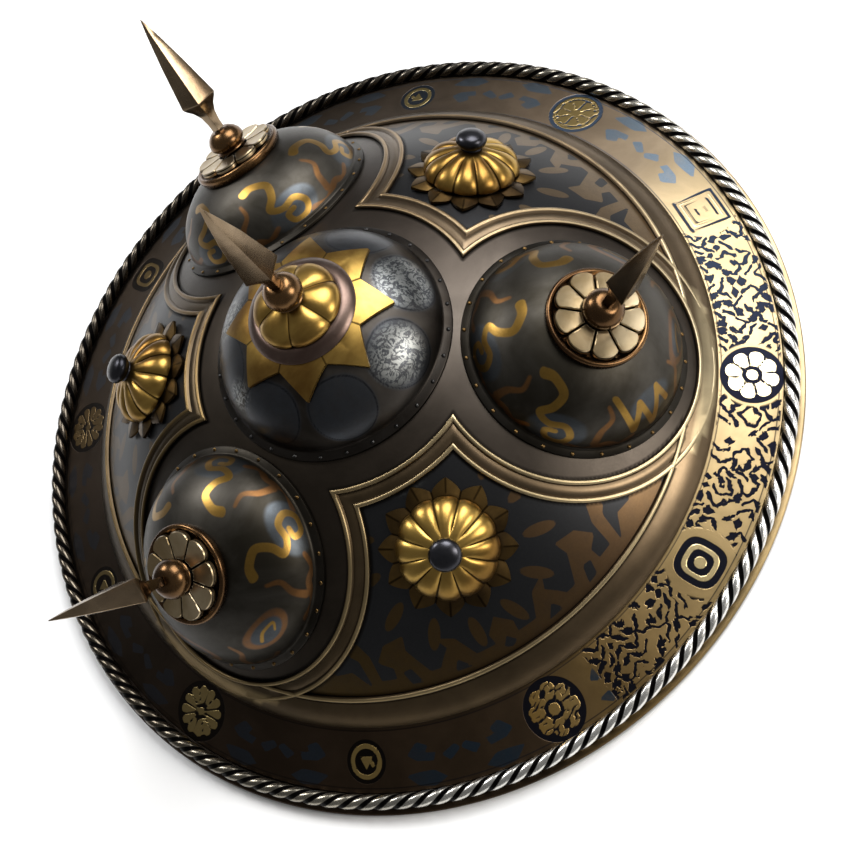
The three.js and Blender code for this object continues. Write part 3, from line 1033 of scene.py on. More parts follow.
@dataclass(frozen=True)
class CompartmentInlay:
    """The ground round each gilt boss: leaf rays, angular strapwork and feathered metal, with painted shade
    along both feet of the moulding.
    """

    leaves: int = 13
    strap_reach: float = 8.0

    def leaf(self, x: Field, y: Field) -> Field:
        """Draws the leaf rays round a boss, in millimetres outward and sideways from it.

        Args:
            x: distance outward, in millimetres.
            y: distance sideways, in millimetres.

        Returns:
            The leaves' field.
        """
        found = np.full(x.shape, -50.0)
        for i in range(self.leaves):
            turn = TAU * (i + 0.5) / self.leaves
            if math.cos(turn) < -0.75:
                continue
            centre = (44.5 * math.cos(turn), 44.5 * math.sin(turn))
            found = np.maximum(found, ellipse(x, y, centre, (8.6, 3.1), turn + 0.16))
        return found

    def strap(self, inward: Field, along: Field) -> Field:
        """Draws the angular strapwork along the ring.

        Args:
            inward: distance inside the ring's edge, in millimetres.
            along: distance along it from the middle of the compartment.

        Returns:
            Distance inside its edge.
        """
        side = np.abs(along)
        found = self.strap_reach - inward
        for tooth in (
            [(-6, 5), (-7, 14), (0, 21), (7, 14), (6, 5)],
            [(16, 6), (22, 20), (31, 24), (28, 17), (33, 12), (38, 6)],
            [(41, 6), (47, 22), (44, 30), (56, 27), (64, 18), (58, 14), (60, 6)],
            [(68, 6), (66, 22), (70, 34), (84, 36), (96, 30), (100, 6)],
        ):
            found = np.maximum(found, polygon(side, inward, tooth))
        for slot in (
            [(-4, 4.2), (0, 9), (4, 4.2), (0, 2.6)],
            [(22, 3), (27, 9.5), (31, 3.4)],
            [(48, 3.2), (50, 12), (55, 11), (54, 3.6)],
            [(74, 4), (73, 20), (82, 27), (92, 22), (90, 12), (80, 14)],
        ):
            found = np.minimum(found, -polygon(side, inward, slot))
        return found

    def draw(self, points: Field, polar: float) -> dict[str, Field]:
        """Draws the three compartments.

        Args:
            points: the plate's points, in metres.
            polar: tilt of the bosses.

        Returns:
            The fields slate, strap, leaf, feather and crease_shade, the last a painted shade along both feet of
            the moulding.
        """
        offset = OUTLINE.offset(points) / MM
        tilt = DISH.spread(points, 0.0, 0.0)
        inward = (math.radians(47.06) - tilt) * DISH.radius / MM
        azimuth = np.arctan2(points[:, 1], points[:, 0])
        flat = np.hypot(points[:, 0], points[:, 1]) / MM
        leaf, along = np.full(flat.shape, -50.0), np.full(flat.shape, 500.0)
        inner = np.full(flat.shape, -50.0)
        for centre in BOSS_AZIMUTHS.values():
            spread = DISH.spread(points, polar, centre) * DISH.radius / MM
            _, down, side = DISH.axes(polar, centre)
            turn = np.arctan2(points @ side, (points - np.array([0, 0, DISH.centre_z])) @ down)
            leaf = np.maximum(
                leaf, np.where(spread < 70, self.leaf(spread * np.cos(turn), spread * np.sin(turn)), -50)
            )
            here = around(azimuth, centre) * flat
            nearer = np.abs(here) < np.abs(along)
            along = np.where(nearer, here, along)
            inner = np.maximum(inner, 14 - np.hypot(spread * np.cos(turn) + 46, spread * np.sin(turn) * 0.8))
        inside = np.minimum(offset - 11.5, inward - 0.2)
        slate = np.minimum(inside, 50)
        strap = np.minimum(self.strap(inward, along), slate)
        # Painted shade: a dark line just outside the moulding's outer foot and one just inside its inner foot.
        edge = 1.0 - np.abs(offset - 11.6)
        crease_shade = np.maximum(edge, 0.9 - np.abs(offset + 0.4))
        return {
            "slate": slate,
            "strap": strap,
            "leaf": np.minimum(leaf, slate),
            "feather": np.minimum(inner, slate),
            "crease_shade": np.where(inward > -0.5, crease_shade, -1.0),
        }


@dataclass(frozen=True)
class DomeInlay:
    """Scrolls, zigzags and lenses round an outer dome, and painted shade towards its base."""

    middle: float = 49.0
    scroll: tuple[tuple[float, float], ...] = (
        (-15, 16), (-9, 17.5), (-2, 13), (-4, 5), (-9, -1), (-3, -4.5), (5, -3), (9.5, -9), (6.5, -15),
        (-1, -15), (-3, -9.5), (1.5, -8),
    )
    zigzag: tuple[tuple[float, float], ...] = ((-15, 13), (-10, -9), (-4, 7), (2, -12), (8, 9), (13, -3))

    def draw(self, points: Field, size: "DomeSize") -> dict[str, Field]:
        """Draws the dome's inlay.

        Args:
            points: points of the dome about Z, in metres.
            size: the dome's size.

        Returns:
            The fields gold, copper, pale and low, the last a painted shade towards the dome's base.
        """
        flat = np.hypot(points[:, 0], points[:, 1])
        turn = np.arctan2(points[:, 1], points[:, 0])
        steep = np.arctan2(flat / size.radius, np.clip(points[:, 2], 0, None) / size.height)
        arc = steep * (size.radius + size.height) / 2 / MM
        gold, copper, pale = (np.full(flat.shape, -50.0) for _ in range(3))
        for degrees, kind in ((195, 0), (255, 0), (313, 1), (5, 2), (72, 2), (135, 0)):
            x = around(turn, math.radians(degrees)) * np.maximum(flat / MM, 12)
            y = self.middle - arc
            near = np.abs(x) < 40
            if kind == 0:
                found = stroke(x, y, curved(self.scroll), 4.6, 0.7)
                halo = ellipse(x, y, (2, -9), (15, 12), 0.3)
                pale = np.where(near, np.maximum(pale, halo), pale)
                gold = np.where(near, np.maximum(gold, found), gold)
            elif kind == 1:
                gold = np.where(near, np.maximum(gold, stroke(x, y, self.zigzag, 3.8, 0.8)), gold)
                pale = np.where(near, np.maximum(pale, ellipse(x, y, (3, 3), (13, 8))), pale)
            else:
                rim = ellipse(x, y, (0, 3), (15, 8.5), -0.15)
                copper = np.where(near, np.maximum(copper, 1.3 - np.abs(rim - 1.0)), copper)
                pale = np.where(near, np.maximum(pale, rim), pale)
                leaf = stroke(x, y, curved([(-7, 2), (-1, 5), (7, 3), (3, 0)]), 2.0, 0.6)
                gold = np.where(near, np.maximum(gold, leaf), gold)
        for degrees in (225, 284, 342, 40, 104, 165):
            x = around(turn, math.radians(degrees)) * np.maximum(flat / MM, 12)
            y = self.middle - arc
            flame = np.maximum(
                stroke(x, y, curved([(-17, -17), (-8, -19), (2, -14), (9, -17), (16, -13)]), 5.2, 0.6),
                stroke(x, y, curved([(-4, -13), (-2, -4), (3, 3), (1, 10)]), 4.4, 0.4),
            )
            copper = np.where(np.abs(x) < 34, np.maximum(copper, flame), copper)
        # Painted shade: grows towards the dome's base.
        low = (arc - 66.0) * np.ones(flat.shape)
        top = points[:, 2] > size.height * 0.1
        return {
            name: np.where(top, values, -5.0) for name,
            values in (("gold", gold), ("copper", copper), ("pale", pale))
        } | {"low": low}


@dataclass(frozen=True)
class MiddleDomeInlay:
    """Broad petals engraved round the middle dome, and painted shade towards its base."""

    petals: int = 8
    bright: tuple[float, ...] = (22.0, -24.0, 172.0, 222.0)

    def draw(self, points: Field, size: "DomeSize") -> dict[str, Field]:
        """Draws the petals.

        Args:
            points: points of the dome about Z, in metres.
            size: the dome's size.

        Returns:
            The fields outline, silver, pale and low, the last a painted shade towards the dome's base.
        """
        flat = np.hypot(points[:, 0], points[:, 1])
        turn = np.arctan2(points[:, 1], points[:, 0])
        steep = np.arctan2(flat / size.radius, np.clip(points[:, 2], 0, None) / size.height)
        arc = steep * (size.radius + size.height) / 2 / MM
        found = np.full(flat.shape, -50.0)
        silver = np.full(flat.shape, -50.0)
        for i in range(self.petals):
            degrees = 360 / self.petals * i + 22
            x = around(turn, math.radians(degrees)) * np.maximum(flat / MM, 15)
            petal = ellipse(x, 51 - arc, (0, 0), (17.5, 19.0))
            found = np.where(np.abs(x) < 30, np.maximum(found, petal), found)
        for degrees, half in zip(self.bright, ((16.5, 18), (16, 16), (12, 22), (8, 9))):
            x = around(turn, math.radians(degrees)) * np.maximum(flat / MM, 15)
            silver = np.where(np.abs(x) < 30, np.maximum(silver, ellipse(x, 50 - arc, (0, 0), half)), silver)
        top = points[:, 2] > size.height * 0.12
        return {
            "outline": np.where(top, 0.45 - np.abs(found - 0.8), -5.0),
            "silver": np.where(top, silver, -5.0),
            "pale": np.where(top, found, -5.0),
            # Painted shade: grows towards the dome's base.
            "low": arc - 70.0,
        }


# ---- sub-assemblies -----------------------------------------------------------------


class SubAssembly:
    """Pieces that are built together and ride on the shield's one body."""

    def hand_over(self, piece: bpy.types.Object, finish: bpy.types.Material, slot: str, *nodes: str) -> None:
        """Dresses a finished piece and says which solid it stands for.

        Args:
            piece: the finished piece.
            finish: its material.
            slot: the name of a material slot; not used.
            nodes: the solids that it replaces.
        """
        piece.data.materials.clear()
        piece.data.materials.append(finish)
        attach(piece, BODY)
        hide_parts(*nodes)
        LOG.info("%s: %d faces, for %s", piece.name, len(piece.data.polygons), ", ".join(nodes))


STEEL = Metal(
    "inlaid_steel", light="#3a322a", dark="#1d1915", roughness=0.4, hammered=0.06, held_tone_and_light="ground_tone_and_light",
    layers=(
        Layer("slate", "#323335", 0.36, soft=0.4, strength=0.92),
        Layer("feather", "#8d918d", 0.28, soft=5.0, level=3.0, kind=Kind.FEATHERED),
        Layer("strap", "@strap_tone", 0.34, worn=0.15),
        Layer("leaf", "@strap_tone", 0.34, worn=0.1),
        Layer("fret", "@ink_tone", 0.4, soft=0.6, kind=Kind.FRETTED, relief=-0.15),
        Layer("panel", "@panel_tone", 0.36, worn=0.2),
        Layer("line", "@ink_tone", 0.5, strength=0.85),
        Layer("ink", "@ink_tone", 0.42, relief=-0.12),
        Layer("figure", "@figure_tone", 0.28, worn=0.06, relief=0.15),
        # crease_shade: painted shade, dark lines along both feet of the moulding.
        Layer("crease_shade", "#0d0b09", 0.6, soft=0.8, strength=0.75),
    ),
)
ROPE = Metal(
    "rope_silver", light="#e8e6e0", dark="#b9b5ac", roughness=0.26, held_tone_and_light="rope_tone_and_light",
    # Painted shade: near black in the gaps between the strands.
    layers=(Layer("crease_shade", "#070606", 0.65, level=0.36, soft=0.14),),
)
BRONZE = Metal(
    "moulding_bronze", light="#846a4c", dark="#57422e", roughness=0.36, held_tone_and_light="band_tone_and_light",
    # line: painted shade at the feet of the ridges.
    layers=(Layer("line", "#110d09", 0.55, soft=0.35, strength=0.9),),
)
RING_BRONZE = Metal("ring_bronze", light="#6a5a52", dark="#4f3f38", roughness=0.34)
GUNMETAL = Metal(
    "dome_gunmetal", light="#45423d", dark="#28251f", roughness=0.44, hammered=0.05,
    layers=(
        Layer("pale", "#454a4f", 0.32, soft=1.2, strength=0.75, worn=0.2),
        Layer("copper", "#6b4a2a", 0.36, soft=0.6, strength=0.85, worn=0.3),
        Layer("gold", "#866830", 0.28, soft=0.4, strength=0.95, worn=0.2),
        # low: painted shade towards the dome's base.
        Layer("low", "#120e0a", 0.4, soft=6.0, strength=0.6),
    ),
)
MIDDLE_GUNMETAL = Metal(
    "middle_gunmetal", light="#47433f", dark="#2a2622", roughness=0.44, hammered=0.05,
    layers=(
        Layer("pale", "#42464c", 0.3, soft=1.2, strength=0.7, worn=0.2),
        Layer("silver", "#868886", 0.36, soft=3.6, level=1.5, strength=0.8, kind=Kind.FEATHERED),
        Layer("outline", "#121215", 0.4, soft=0.3, strength=0.7, worn=0.3),
        # low: painted shade towards the dome's base.
        Layer("low", "#120e0a", 0.4, soft=6.0, strength=0.6),
    ),
)
BLADE_STEEL = Metal("blade_bronze", light="#8f7d66", dark="#5d4e3c", roughness=0.2, hammered=0.02)
BRASS = Metal("dark_brass", light="#6d5235", dark="#3f2d1e", roughness=0.26)
GOLD = Metal(
    "gilt", light="#a98a48", dark="#6a4d24", roughness=0.33, hammered=0.1,
    # Painted shade: dark brown in the creases between points, lobes and pleats.
    layers=(Layer("crease_shade", "#191005", 0.5, level=0.5, soft=0.35, strength=0.9),),
)
LEAF_GOLD = Metal(
    "leaf_gilt", light="#5e4928", dark="#342819", roughness=0.36,
    # Painted shade: dark brown in the creases between the leaves.
    layers=(Layer("crease_shade", "#100a04", 0.5, level=0.5, soft=0.35, strength=0.9),),
)
PETAL = Metal(
    "petal_ivory_gilt", light="#b5a486", dark="#857252", roughness=0.3,
    # Painted shade: near black in the creases between and round the petals.
    layers=(Layer("crease_shade", "#0d0906", 0.5, level=0.42, soft=0.2),),
)
KNOB_STEEL = Metal("knob_steel", light="#47474c", dark="#232326", roughness=0.3)
GRIP_IRON = Metal("grip_iron", light="#3b352f", dark="#1f1b18", roughness=0.5, hammered=0.15)


@dataclass
class Plate(SubAssembly):
    """The dished plate with its sloping border and flat lip."""

    rim_radius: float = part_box("plate")[1].x
    lip_inner: float = 210.3 * MM
    lip_top: float = 3.4 * MM
    lip_edge: float = 2.5 * MM
    thickness: float = 1.6 * MM
    steps: int = 720

    def profile(self) -> Profile:
        """Lists the plate's section, outer skin first.

        Returns:
            The section.
        """
        edge = DISH.edge_polar

        def arc(radius: float, marks: Iterable[float]) -> list[tuple[float, float]]:
            """Lists points on an arc about the dish's centre."""
            return [(radius * math.sin(m), DISH.centre_z + radius * math.cos(m)) for m in marks]

        hidden = np.linspace(0, math.radians(15), 8)
        shown = np.linspace(math.radians(15), edge, 86)[1:]
        outer = arc(DISH.radius, [*hidden, *shown])
        slope = (outer[-1][1] - self.lip_edge) / (self.rim_radius - DISH.edge_radius)
        step = self.lip_inner - 0.8 * MM
        border = [
            (
                r, self.lip_edge + slope * (self.rim_radius - r)
            ) for r in np.linspace(DISH.edge_radius, step, 30)[1:]
        ]
        step_z = border[-1][1]
        lip = [
            (self.lip_inner, self.lip_top),
            (self.rim_radius - 0.5 * MM, self.lip_edge + 0.05 * MM),
            (self.rim_radius, self.lip_edge - 0.5 * MM),
            (self.rim_radius - 0.2 * MM, 0.4 * MM),
            (self.rim_radius - 0.9 * MM, 0.0),
            (self.lip_inner + 0.7 * MM, 0.0),
            (step - 0.4 * MM, step_z - self.thickness),
        ]
        inner = arc(DISH.radius - self.thickness, np.linspace(edge, 0, 16))
        return [*outer, *border, *lip, *inner]

    def build(self) -> None:
        """Turns the plate and dresses it."""
        piece = lathe("dished_plate", self.profile(), self.steps)
        self.inlay(piece)
        facet(piece, 25)
        self.hand_over(piece, STEEL.build(), "steel", "plate")

    def inlay(self, piece: bpy.types.Object) -> None:
        """Draws the inlay on the plate's face and keeps its tones, which carry painted light.

        Args:
            piece: the plate.
        """
        points = points_of(piece)
        radius = np.hypot(points[:, 0], points[:, 1]) / MM
        azimuth = np.arctan2(points[:, 1], points[:, 0])
        skin = DISH.centre_z + np.sqrt(np.clip((DISH.radius - 0.8 * MM) ** 2 - (radius * MM) ** 2, 0, None))
        slope = (DISH.edge_radius / MM - radius) * 0.339 * MM
        border_skin = 15.8 * MM + slope
        face = points[:, 2] > np.where(radius < DISH.edge_radius / MM, skin, border_skin)
        fields = BorderInlay().draw(radius, azimuth) | CompartmentInlay().draw(points, math.radians(31.5))
        on_border = radius > DISH.edge_radius / MM + 0.5
        for name, values in fields.items():
            part = on_border if name in ("ink", "figure", "panel", "fret", "line") else ~on_border
            keep(piece, name, np.where(face & part, values, -5.0))
        # Painted light: each tone below is lighter from about 320 to 60 degrees and darker from about 120 to
        # 270 degrees, as if lit from that side; the underside keeps one plain tone.
        degrees = np.degrees(azimuth) % 360
        border = shades(degrees, (
            (0, "#ac9874"), (28, "#a99672"), (44, "#847561"), (60, "#7b6b59"), (90, "#5d5145"),
            (120, "#423a32"),
            (180, "#40362d"), (225, "#312922"), (270, "#3b2f24"), (296, "#4e3f2f"), (310, "#8e7449"),
            (330, "#a99165"), (360, "#ac9874"),
        ))
        dish = shades(
            degrees,
            (
                (0, "#49433d"), (60, "#463f39"), (150, "#37312b"), (240, "#322c25"), (300, "#3d362f"),
                (360, "#49433d")
            )
        )
        tones = np.where(on_border[:, None], border, dish)
        tones[~face] = tone("#4a4139")
        keep_colour(piece, "ground_tone_and_light", tones)
        keep_colour(piece, "ink_tone", shades(degrees, (
            (0, "#12131c"), (30, "#1f2530"), (60, "#3b4757"), (90, "#30353c"), (130, "#201c19"),
            (270, "#191512"), (300, "#1c1c22"), (360, "#12131c"),
        )))
        keep_colour(piece, "panel_tone", shades(degrees, (
            (0, "#4c5a68"), (60, "#5f6a74"), (110, "#4a4f55"), (180, "#39383a"), (240, "#2e2f33"),
            (290, "#2f3a44"), (360, "#4c5a68"),
        )))
        keep_colour(piece, "figure_tone", shades(degrees, (
            (0, "#f0deb4"), (20, "#e6d2a6"), (34, "#b3a184"), (60, "#a08a58"), (90, "#a2905f"),
            (170, "#6a5539"), (225, "#83744f"),
            (270, "#9c8450"), (295, "#b08a48"), (322, "#e0c890"), (360, "#f0deb4"),
        )))
        keep_colour(piece, "strap_tone", shades(degrees, (
            (0, "#725e43"), (60, "#685a49"), (180, "#463929"), (270, "#4b3c23"), (300, "#524029"),
            (325, "#644e38"), (360, "#725e43"),
        )))


@dataclass
class RopeBead(SubAssembly):
    """The twisted bead that stands on the lip."""

    radius: float = 214.2 * MM
    half: float = 4.0 * MM
    strands: int = 136
    steps_each: int = 8
    sides: int = 20
    twist: int = -3
    centre_z: float = 7.7 * MM

    def build(self) -> None:
        """Spins a round section and twists it into strands."""
        deselect()
        bpy.ops.mesh.primitive_circle_add(
            vertices=self.sides, radius=self.half, location=(self.radius, 0, self.centre_z),
            rotation=(math.pi / 2, 0, 0)
        )
        piece = bpy.context.object
        piece.name = "twisted_rim_bead"
        bpy.ops.object.transform_apply(location=True, rotation=True, scale=True)
        bpy.ops.object.mode_set(mode="EDIT")
        bpy.ops.mesh.select_all(action="SELECT")
        bpy.ops.mesh.spin(steps=self.strands * self.steps_each, angle=TAU, center=(0, 0, 0), axis=(0, 0, 1))
        bpy.ops.mesh.select_all(action="SELECT")
        bpy.ops.mesh.remove_doubles(threshold=0.05 * MM)
        bpy.ops.mesh.normals_make_consistent(inside=False)
        bpy.ops.object.mode_set(mode="OBJECT")
        points = points_of(piece)
        ring = np.hypot(points[:, 0], points[:, 1])
        azimuth = np.arctan2(points[:, 1], points[:, 0])
        around = np.arctan2(points[:, 2] - self.centre_z, ring - self.radius)
        crest = np.abs(np.cos(0.5 * (self.strands * azimuth + self.twist * around)))
        section = self.half * (0.7 + 0.3 * crest**0.7)
        ring = self.radius + section * np.cos(around)
        points = np.stack(
            [ring * np.cos(azimuth), ring * np.sin(azimuth), self.centre_z + section * np.sin(around)], 1
        )
        put_points(piece, points)
        # The gaps between the strands are kept for their finish to paint shade in.
        keep(piece, "crease_shade", 1 - crest)
        # Painted light: the strands are near white round +X, dimmer past 60 degrees and dark brown from 90 to
        # 235 degrees, as if lit from that side.
        keep_colour(piece, "rope_tone_and_light", shades(np.degrees(azimuth) % 360, (
            (0, "#f4f2ee"), (35, "#e6e2d6"), (60, "#8f8a7e"), (90, "#5b554c"), (180, "#4a443c"),
            (235, "#5a5348"),
            (268, "#a09a8c"), (290, "#e8e6e0"), (360, "#f4f2ee"),
        )))
        facet(piece, 60)
        self.hand_over(piece, ROPE.build(), "rope", "rim_rope")


@dataclass
class FrameMoulding(SubAssembly):
    """The banded moulding round the four domes, with the ring inside the border."""

    width: float = 11.2 * MM
    ridge: float = 2.6 * MM
    ridge_height: float = 2.4 * MM
    band_height: float = 1.1 * MM
    ring_polar: float = math.radians(47.06)

    def section(self) -> Profile:
        """Lists offset and height pairs across the moulding, from its foot round to its foot.

        Returns:
            The section.
        """
        ridge, top, band, width = self.ridge, self.ridge_height, self.band_height, self.width
        rounded = [(0.05, 0.72), (0.2, 0.93), (0.38, 1.0), (0.62, 1.0), (0.8, 0.93), (0.95, 0.74)]
        first = [(ridge * a, top * h) for a, h in rounded]
        last = [(width - ridge + ridge * a, top * h) for a, h in rounded]
        hollow = [(ridge + 0.5 * MM, band * 0.8), (width * 0.38, band * 1.1), (width / 2, band * 1.25),
                  (width * 0.62, band * 1.1), (width - ridge - 0.5 * MM, band * 0.8)]
        foot = 0.85 * MM
        return [(0, foot), *first, *hollow, *last, (width, foot)]

    def ring_profile(self) -> Profile:
        """Lists the section of the ring inside the border as radius and height pairs.

        Returns:
            The section.
        """
        width = (DISH.edge_polar - self.ring_polar) * DISH.radius
        ridge, top = self.ridge, self.ridge_height
        across = [
            (0, DISH.gap), (0.05 * ridge, top * 0.72), (0.2 * ridge, top * 0.93), (0.38 * ridge, top),
            (0.62 * ridge, top), (0.8 * ridge, top * 0.93), (ridge, top * 0.6), (ridge + 0.5 * MM, 1.2 * MM),
            (width * 0.3, 1.75 * MM), (width * 0.45, 2.2 * MM), (width * 0.65, 2.35 * MM),
            (width * 0.85, 2.1 * MM),
            (width - 0.6 * MM, 1.6 * MM), (width, DISH.gap),
        ]
        return [
            ((DISH.radius + h) * math.sin(self.ring_polar + o / DISH.radius),
             DISH.centre_z + (DISH.radius + h) * math.cos(self.ring_polar + o / DISH.radius))
            for o, h in across
        ]

    def build(self) -> None:
        """Joins the four-circle moulding to the ring and dresses it."""
        piece = woven_grid("banded_moulding", [OUTLINE.row(o, h, 120, 36) for o, h in self.section()])
        ring = lathe("ring_moulding", self.ring_profile(), 420, closed=True)
        spread = OUTLINE.outer + self.ridge * 0.5 / DISH.radius
        for azimuth in OUTER_AZIMUTHS.values():
            low, high = ((DISH.radius + side * 12 * MM) * math.sin(spread) for side in (-1, 1))
            plug = lathe("plug", [(0, 12 * MM), (high, 12 * MM), (low, -12 * MM), (0, -12 * MM)], 160)
            DISH.seat(plug, Place(OUTLINE.outer_polar, azimuth, DISH.radius * math.cos(spread)))
            combined(ring, plug, "DIFFERENCE")
        combined(piece, ring, "UNION")
        points = points_of(piece)
        offset = OUTLINE.offset(points)
        tilt = (DISH.spread(points, 0.0, 0.0) - self.ring_polar) * DISH.radius
        height = np.linalg.norm(points - np.array([0, 0, DISH.centre_z]), axis=1) - DISH.radius
        low = (height < 1.3 * MM) & (height > 0.95 * MM)
        on_band = (offset > 0) & (offset < self.width)
        # Painted shade: a dark line in the hollow at the foot of each ridge, kept as line.
        seam = np.where(
            on_band,
            np.minimum(
                np.abs(offset - self.ridge - 0.4 * MM), np.abs(offset - self.width + self.ridge + 0.4 * MM)
            ),
            9
        )
        seam = np.where(on_band, seam, np.abs(tilt - self.ridge - 0.4 * MM))
        keep(piece, "line", np.where(low, 0.35 - seam / MM, -1.0))
        # Painted highlight: the ridge tops take the brighter colour.
        crest = smooth((height - 1.9 * MM) / (0.4 * MM)) * (
            (offset < self.width + MM) | (tilt < self.ridge + MM)
        )
        # Painted light: band and ridge colours are lighter round +X and darkest from about 130 to 220 degrees.
        degrees = np.degrees(np.arctan2(points[:, 1], points[:, 0])) % 360
        band = shades(
            degrees,
            (
                (0, "#72624d"), (60, "#685a49"), (130, "#4f4437"), (220, "#453a29"), (290, "#584a37"),
                (330, "#6a5a46"), (360, "#72624d")
            )
        )
        bright = shades(
            degrees,
            (
                (0, "#b5a686"), (60, "#9d8666"), (130, "#6e5b42"), (220, "#705d3a"), (290, "#a18e6a"),
                (330, "#b09e7a"), (360, "#b5a686")
            )
        )
        keep_colour(piece, "band_tone_and_light", band + (bright - band) * crest[:, None])
        facet(piece, 35)
        self.hand_over(piece, BRONZE.build(), "bronze", "frame_moulding")


@dataclass(frozen=True)
class DomeSize:
    """Sizes of a dome and its flange."""

    radius: float
    height: float
    flange: float

    def height_at(self, radius: Field | float) -> Field | float:
        """Returns the dome's height above its base at this radius."""
        return self.height * np.sqrt(np.clip(1 - (radius / self.radius) ** 2, 0, 1))


OUTER_DOME = DomeSize(54.2 * MM, 36.6 * MM, 58 * MM)
MIDDLE_DOME = DomeSize(59.8 * MM, 38.5 * MM, 64 * MM)


@dataclass
class DomeShell(SubAssembly):
    """A hollow dome on a thin flange, with a ring of small rivets."""

    size: DomeSize
    inlay: DomeInlay | MiddleDomeInlay
    thickness: float = 1.4 * MM
    flange_thickness: float = 1.5 * MM
    rivets: int = 24
    rivet_radius: float = 1.15 * MM
    steps: int = 360

    def model(self, name: str) -> bpy.types.Object:
        """Turns the dome about Z, its base circle on z = 0.

        Args:
            name: the piece's name.

        Returns:
            The dome, with its rivets.
        """
        size = self.size
        base = DISH.chord(size.radius)
        on_dish = lambda r: math.sqrt((DISH.radius + DISH.gap) ** 2 - r**2) - base
        outer = dome_profile(size.radius, size.height, 84)
        root = on_dish(size.radius) + self.flange_thickness
        outer = [p for p in outer if p[1] > root + 1.0 * MM]
        fillet = [(size.radius + 0.05 * MM, root + 0.7 * MM), (size.radius + 0.35 * MM, root + 0.25 * MM),
                  (size.radius + 0.8 * MM, root + 0.02 * MM)]
        lip = [(size.flange - 0.3 * MM, on_dish(size.flange) + self.flange_thickness),
               (size.flange, on_dish(size.flange) + self.flange_thickness - 0.3 * MM),
               (size.flange, on_dish(size.flange))]
        inner = dome_profile(
            size.radius - self.thickness - 0.6 * MM, size.height - self.thickness - 0.6 * MM, 16
        )
        inner = [p for p in inner if p[1] > 2.0 * MM]
        foot = [(inner[-1][0], on_dish(inner[-1][0]))]
        piece = lathe(name, [*outer, *fillet, *lip, *foot, *inner[::-1]], self.steps)
        for field_name, values in self.inlay.draw(points_of(piece), size).items():
            keep(piece, field_name, values)
        middle = (size.radius + 0.8 * MM + size.flange) / 2
        top = on_dish(middle) + self.flange_thickness
        deselect()
        bpy.ops.mesh.primitive_uv_sphere_add(
            segments=12, ring_count=6, radius=self.rivet_radius, location=(middle, 0, top)
        )
        rivet = bpy.context.object
        rivet.scale = (1, 1, 0.6)
        bpy.ops.object.transform_apply(location=True, rotation=True, scale=True)
        rivets = [rivet]
        for i in range(1, self.rivets):
            twin = copied(rivet, f"rivet_{i}")
            twin.data.transform(Matrix.Rotation(TAU * i / self.rivets, 4, "Z"))
            rivets.append(twin)
        facet(piece, 30)
        for one in rivets:
            for polygon in one.data.polygons:
                polygon.use_smooth = True
        return joined([piece, *rivets])


def spike(name: str, length: float, shoulder_at: float) -> bpy.types.Object:
    """Makes a four-edged blade that stands on its point of fixing.

    Args:
        name: the piece's name.
        length: from its stem to its tip.
        shoulder_at: where it is widest, as a share of the length.

    Returns:
        The blade, about Z.
    """
    stem, shoulder, flat = 3.4 * MM, 10.2 * MM, 0.78
    wide = shoulder_at * length
    profile = [
        (0, 0), (stem, 0), (stem * 1.04, wide * 0.25), (stem * 1.3, wide * 0.55), (stem * 1.9, wide * 0.78),
        (shoulder * 0.88, wide * 0.94), (shoulder, wide + 0.8 * MM), (shoulder * 0.97, wide + 2.5 * MM),
        (shoulder * 0.6, length * 0.6), (shoulder * 0.28, length * 0.83), (0, length),
    ]
    piece = lathe(name, profile, 4)
    points = points_of(piece)
    points = points @ np.array(Matrix.Rotation(math.pi / 2, 3, "Z")).T
    thin = 1 - (1 - flat) * smooth(points[:, 2] / wide)
    points[:, 0] *= thin
    put_points(piece, points)
    bevelled(piece, 0.25 * MM, 2, 20)
    facet(piece, 22)
    return piece


def collar(name: str, radius: float, height: float) -> bpy.types.Object:
    """Makes the turned ball and neck under a spike, about Z.

    Args:
        name: the collar's name.
        radius: radius of the ball.
        height: height of the whole collar.

    Returns:
        The collar.
    """
    around = [(0.36, 1.0), (0.5, 0.985), (0.62, 0.93), (0.8, 0.8), (0.94, 0.62), (1.0, 0.42),
              (0.97, 0.3), (0.88, 0.2), (0.76, 0.13), (0.74, 0.1), (0.82, 0.06), (0.84, 0.02), (0.82, 0.0)]
    profile = [(0, height), *((radius * r, height * z) for r, z in around), (0, 0)]
    piece = lathe(name, profile, 64)
    facet(piece, 40)
    return piece


def shaped(
    piece: bpy.types.Object, move: Callable[[Field, Field, Field], tuple[Field, Field, Field]]
) -> None:
    """Carves a piece that was turned about Z.

    Args:
        piece: the turned piece.
        move: gets each point's radius, turn and height, in metres and radians, and gives its new radius and
            height, and how deep in a crease it lies, 0 to 1, kept for the finish to paint shade in.
    """
    points = points_of(piece)
    radius = np.hypot(points[:, 0], points[:, 1])
    turn = np.arctan2(points[:, 1], points[:, 0])
    new_radius, new_height, crease_shade = move(radius, turn, points[:, 2])
    put_points(piece, np.stack([new_radius * np.cos(turn), new_radius * np.sin(turn), new_height], 1))
    # Kept for the finish to paint shade in the creases.
    keep(piece, "crease_shade", crease_shade)


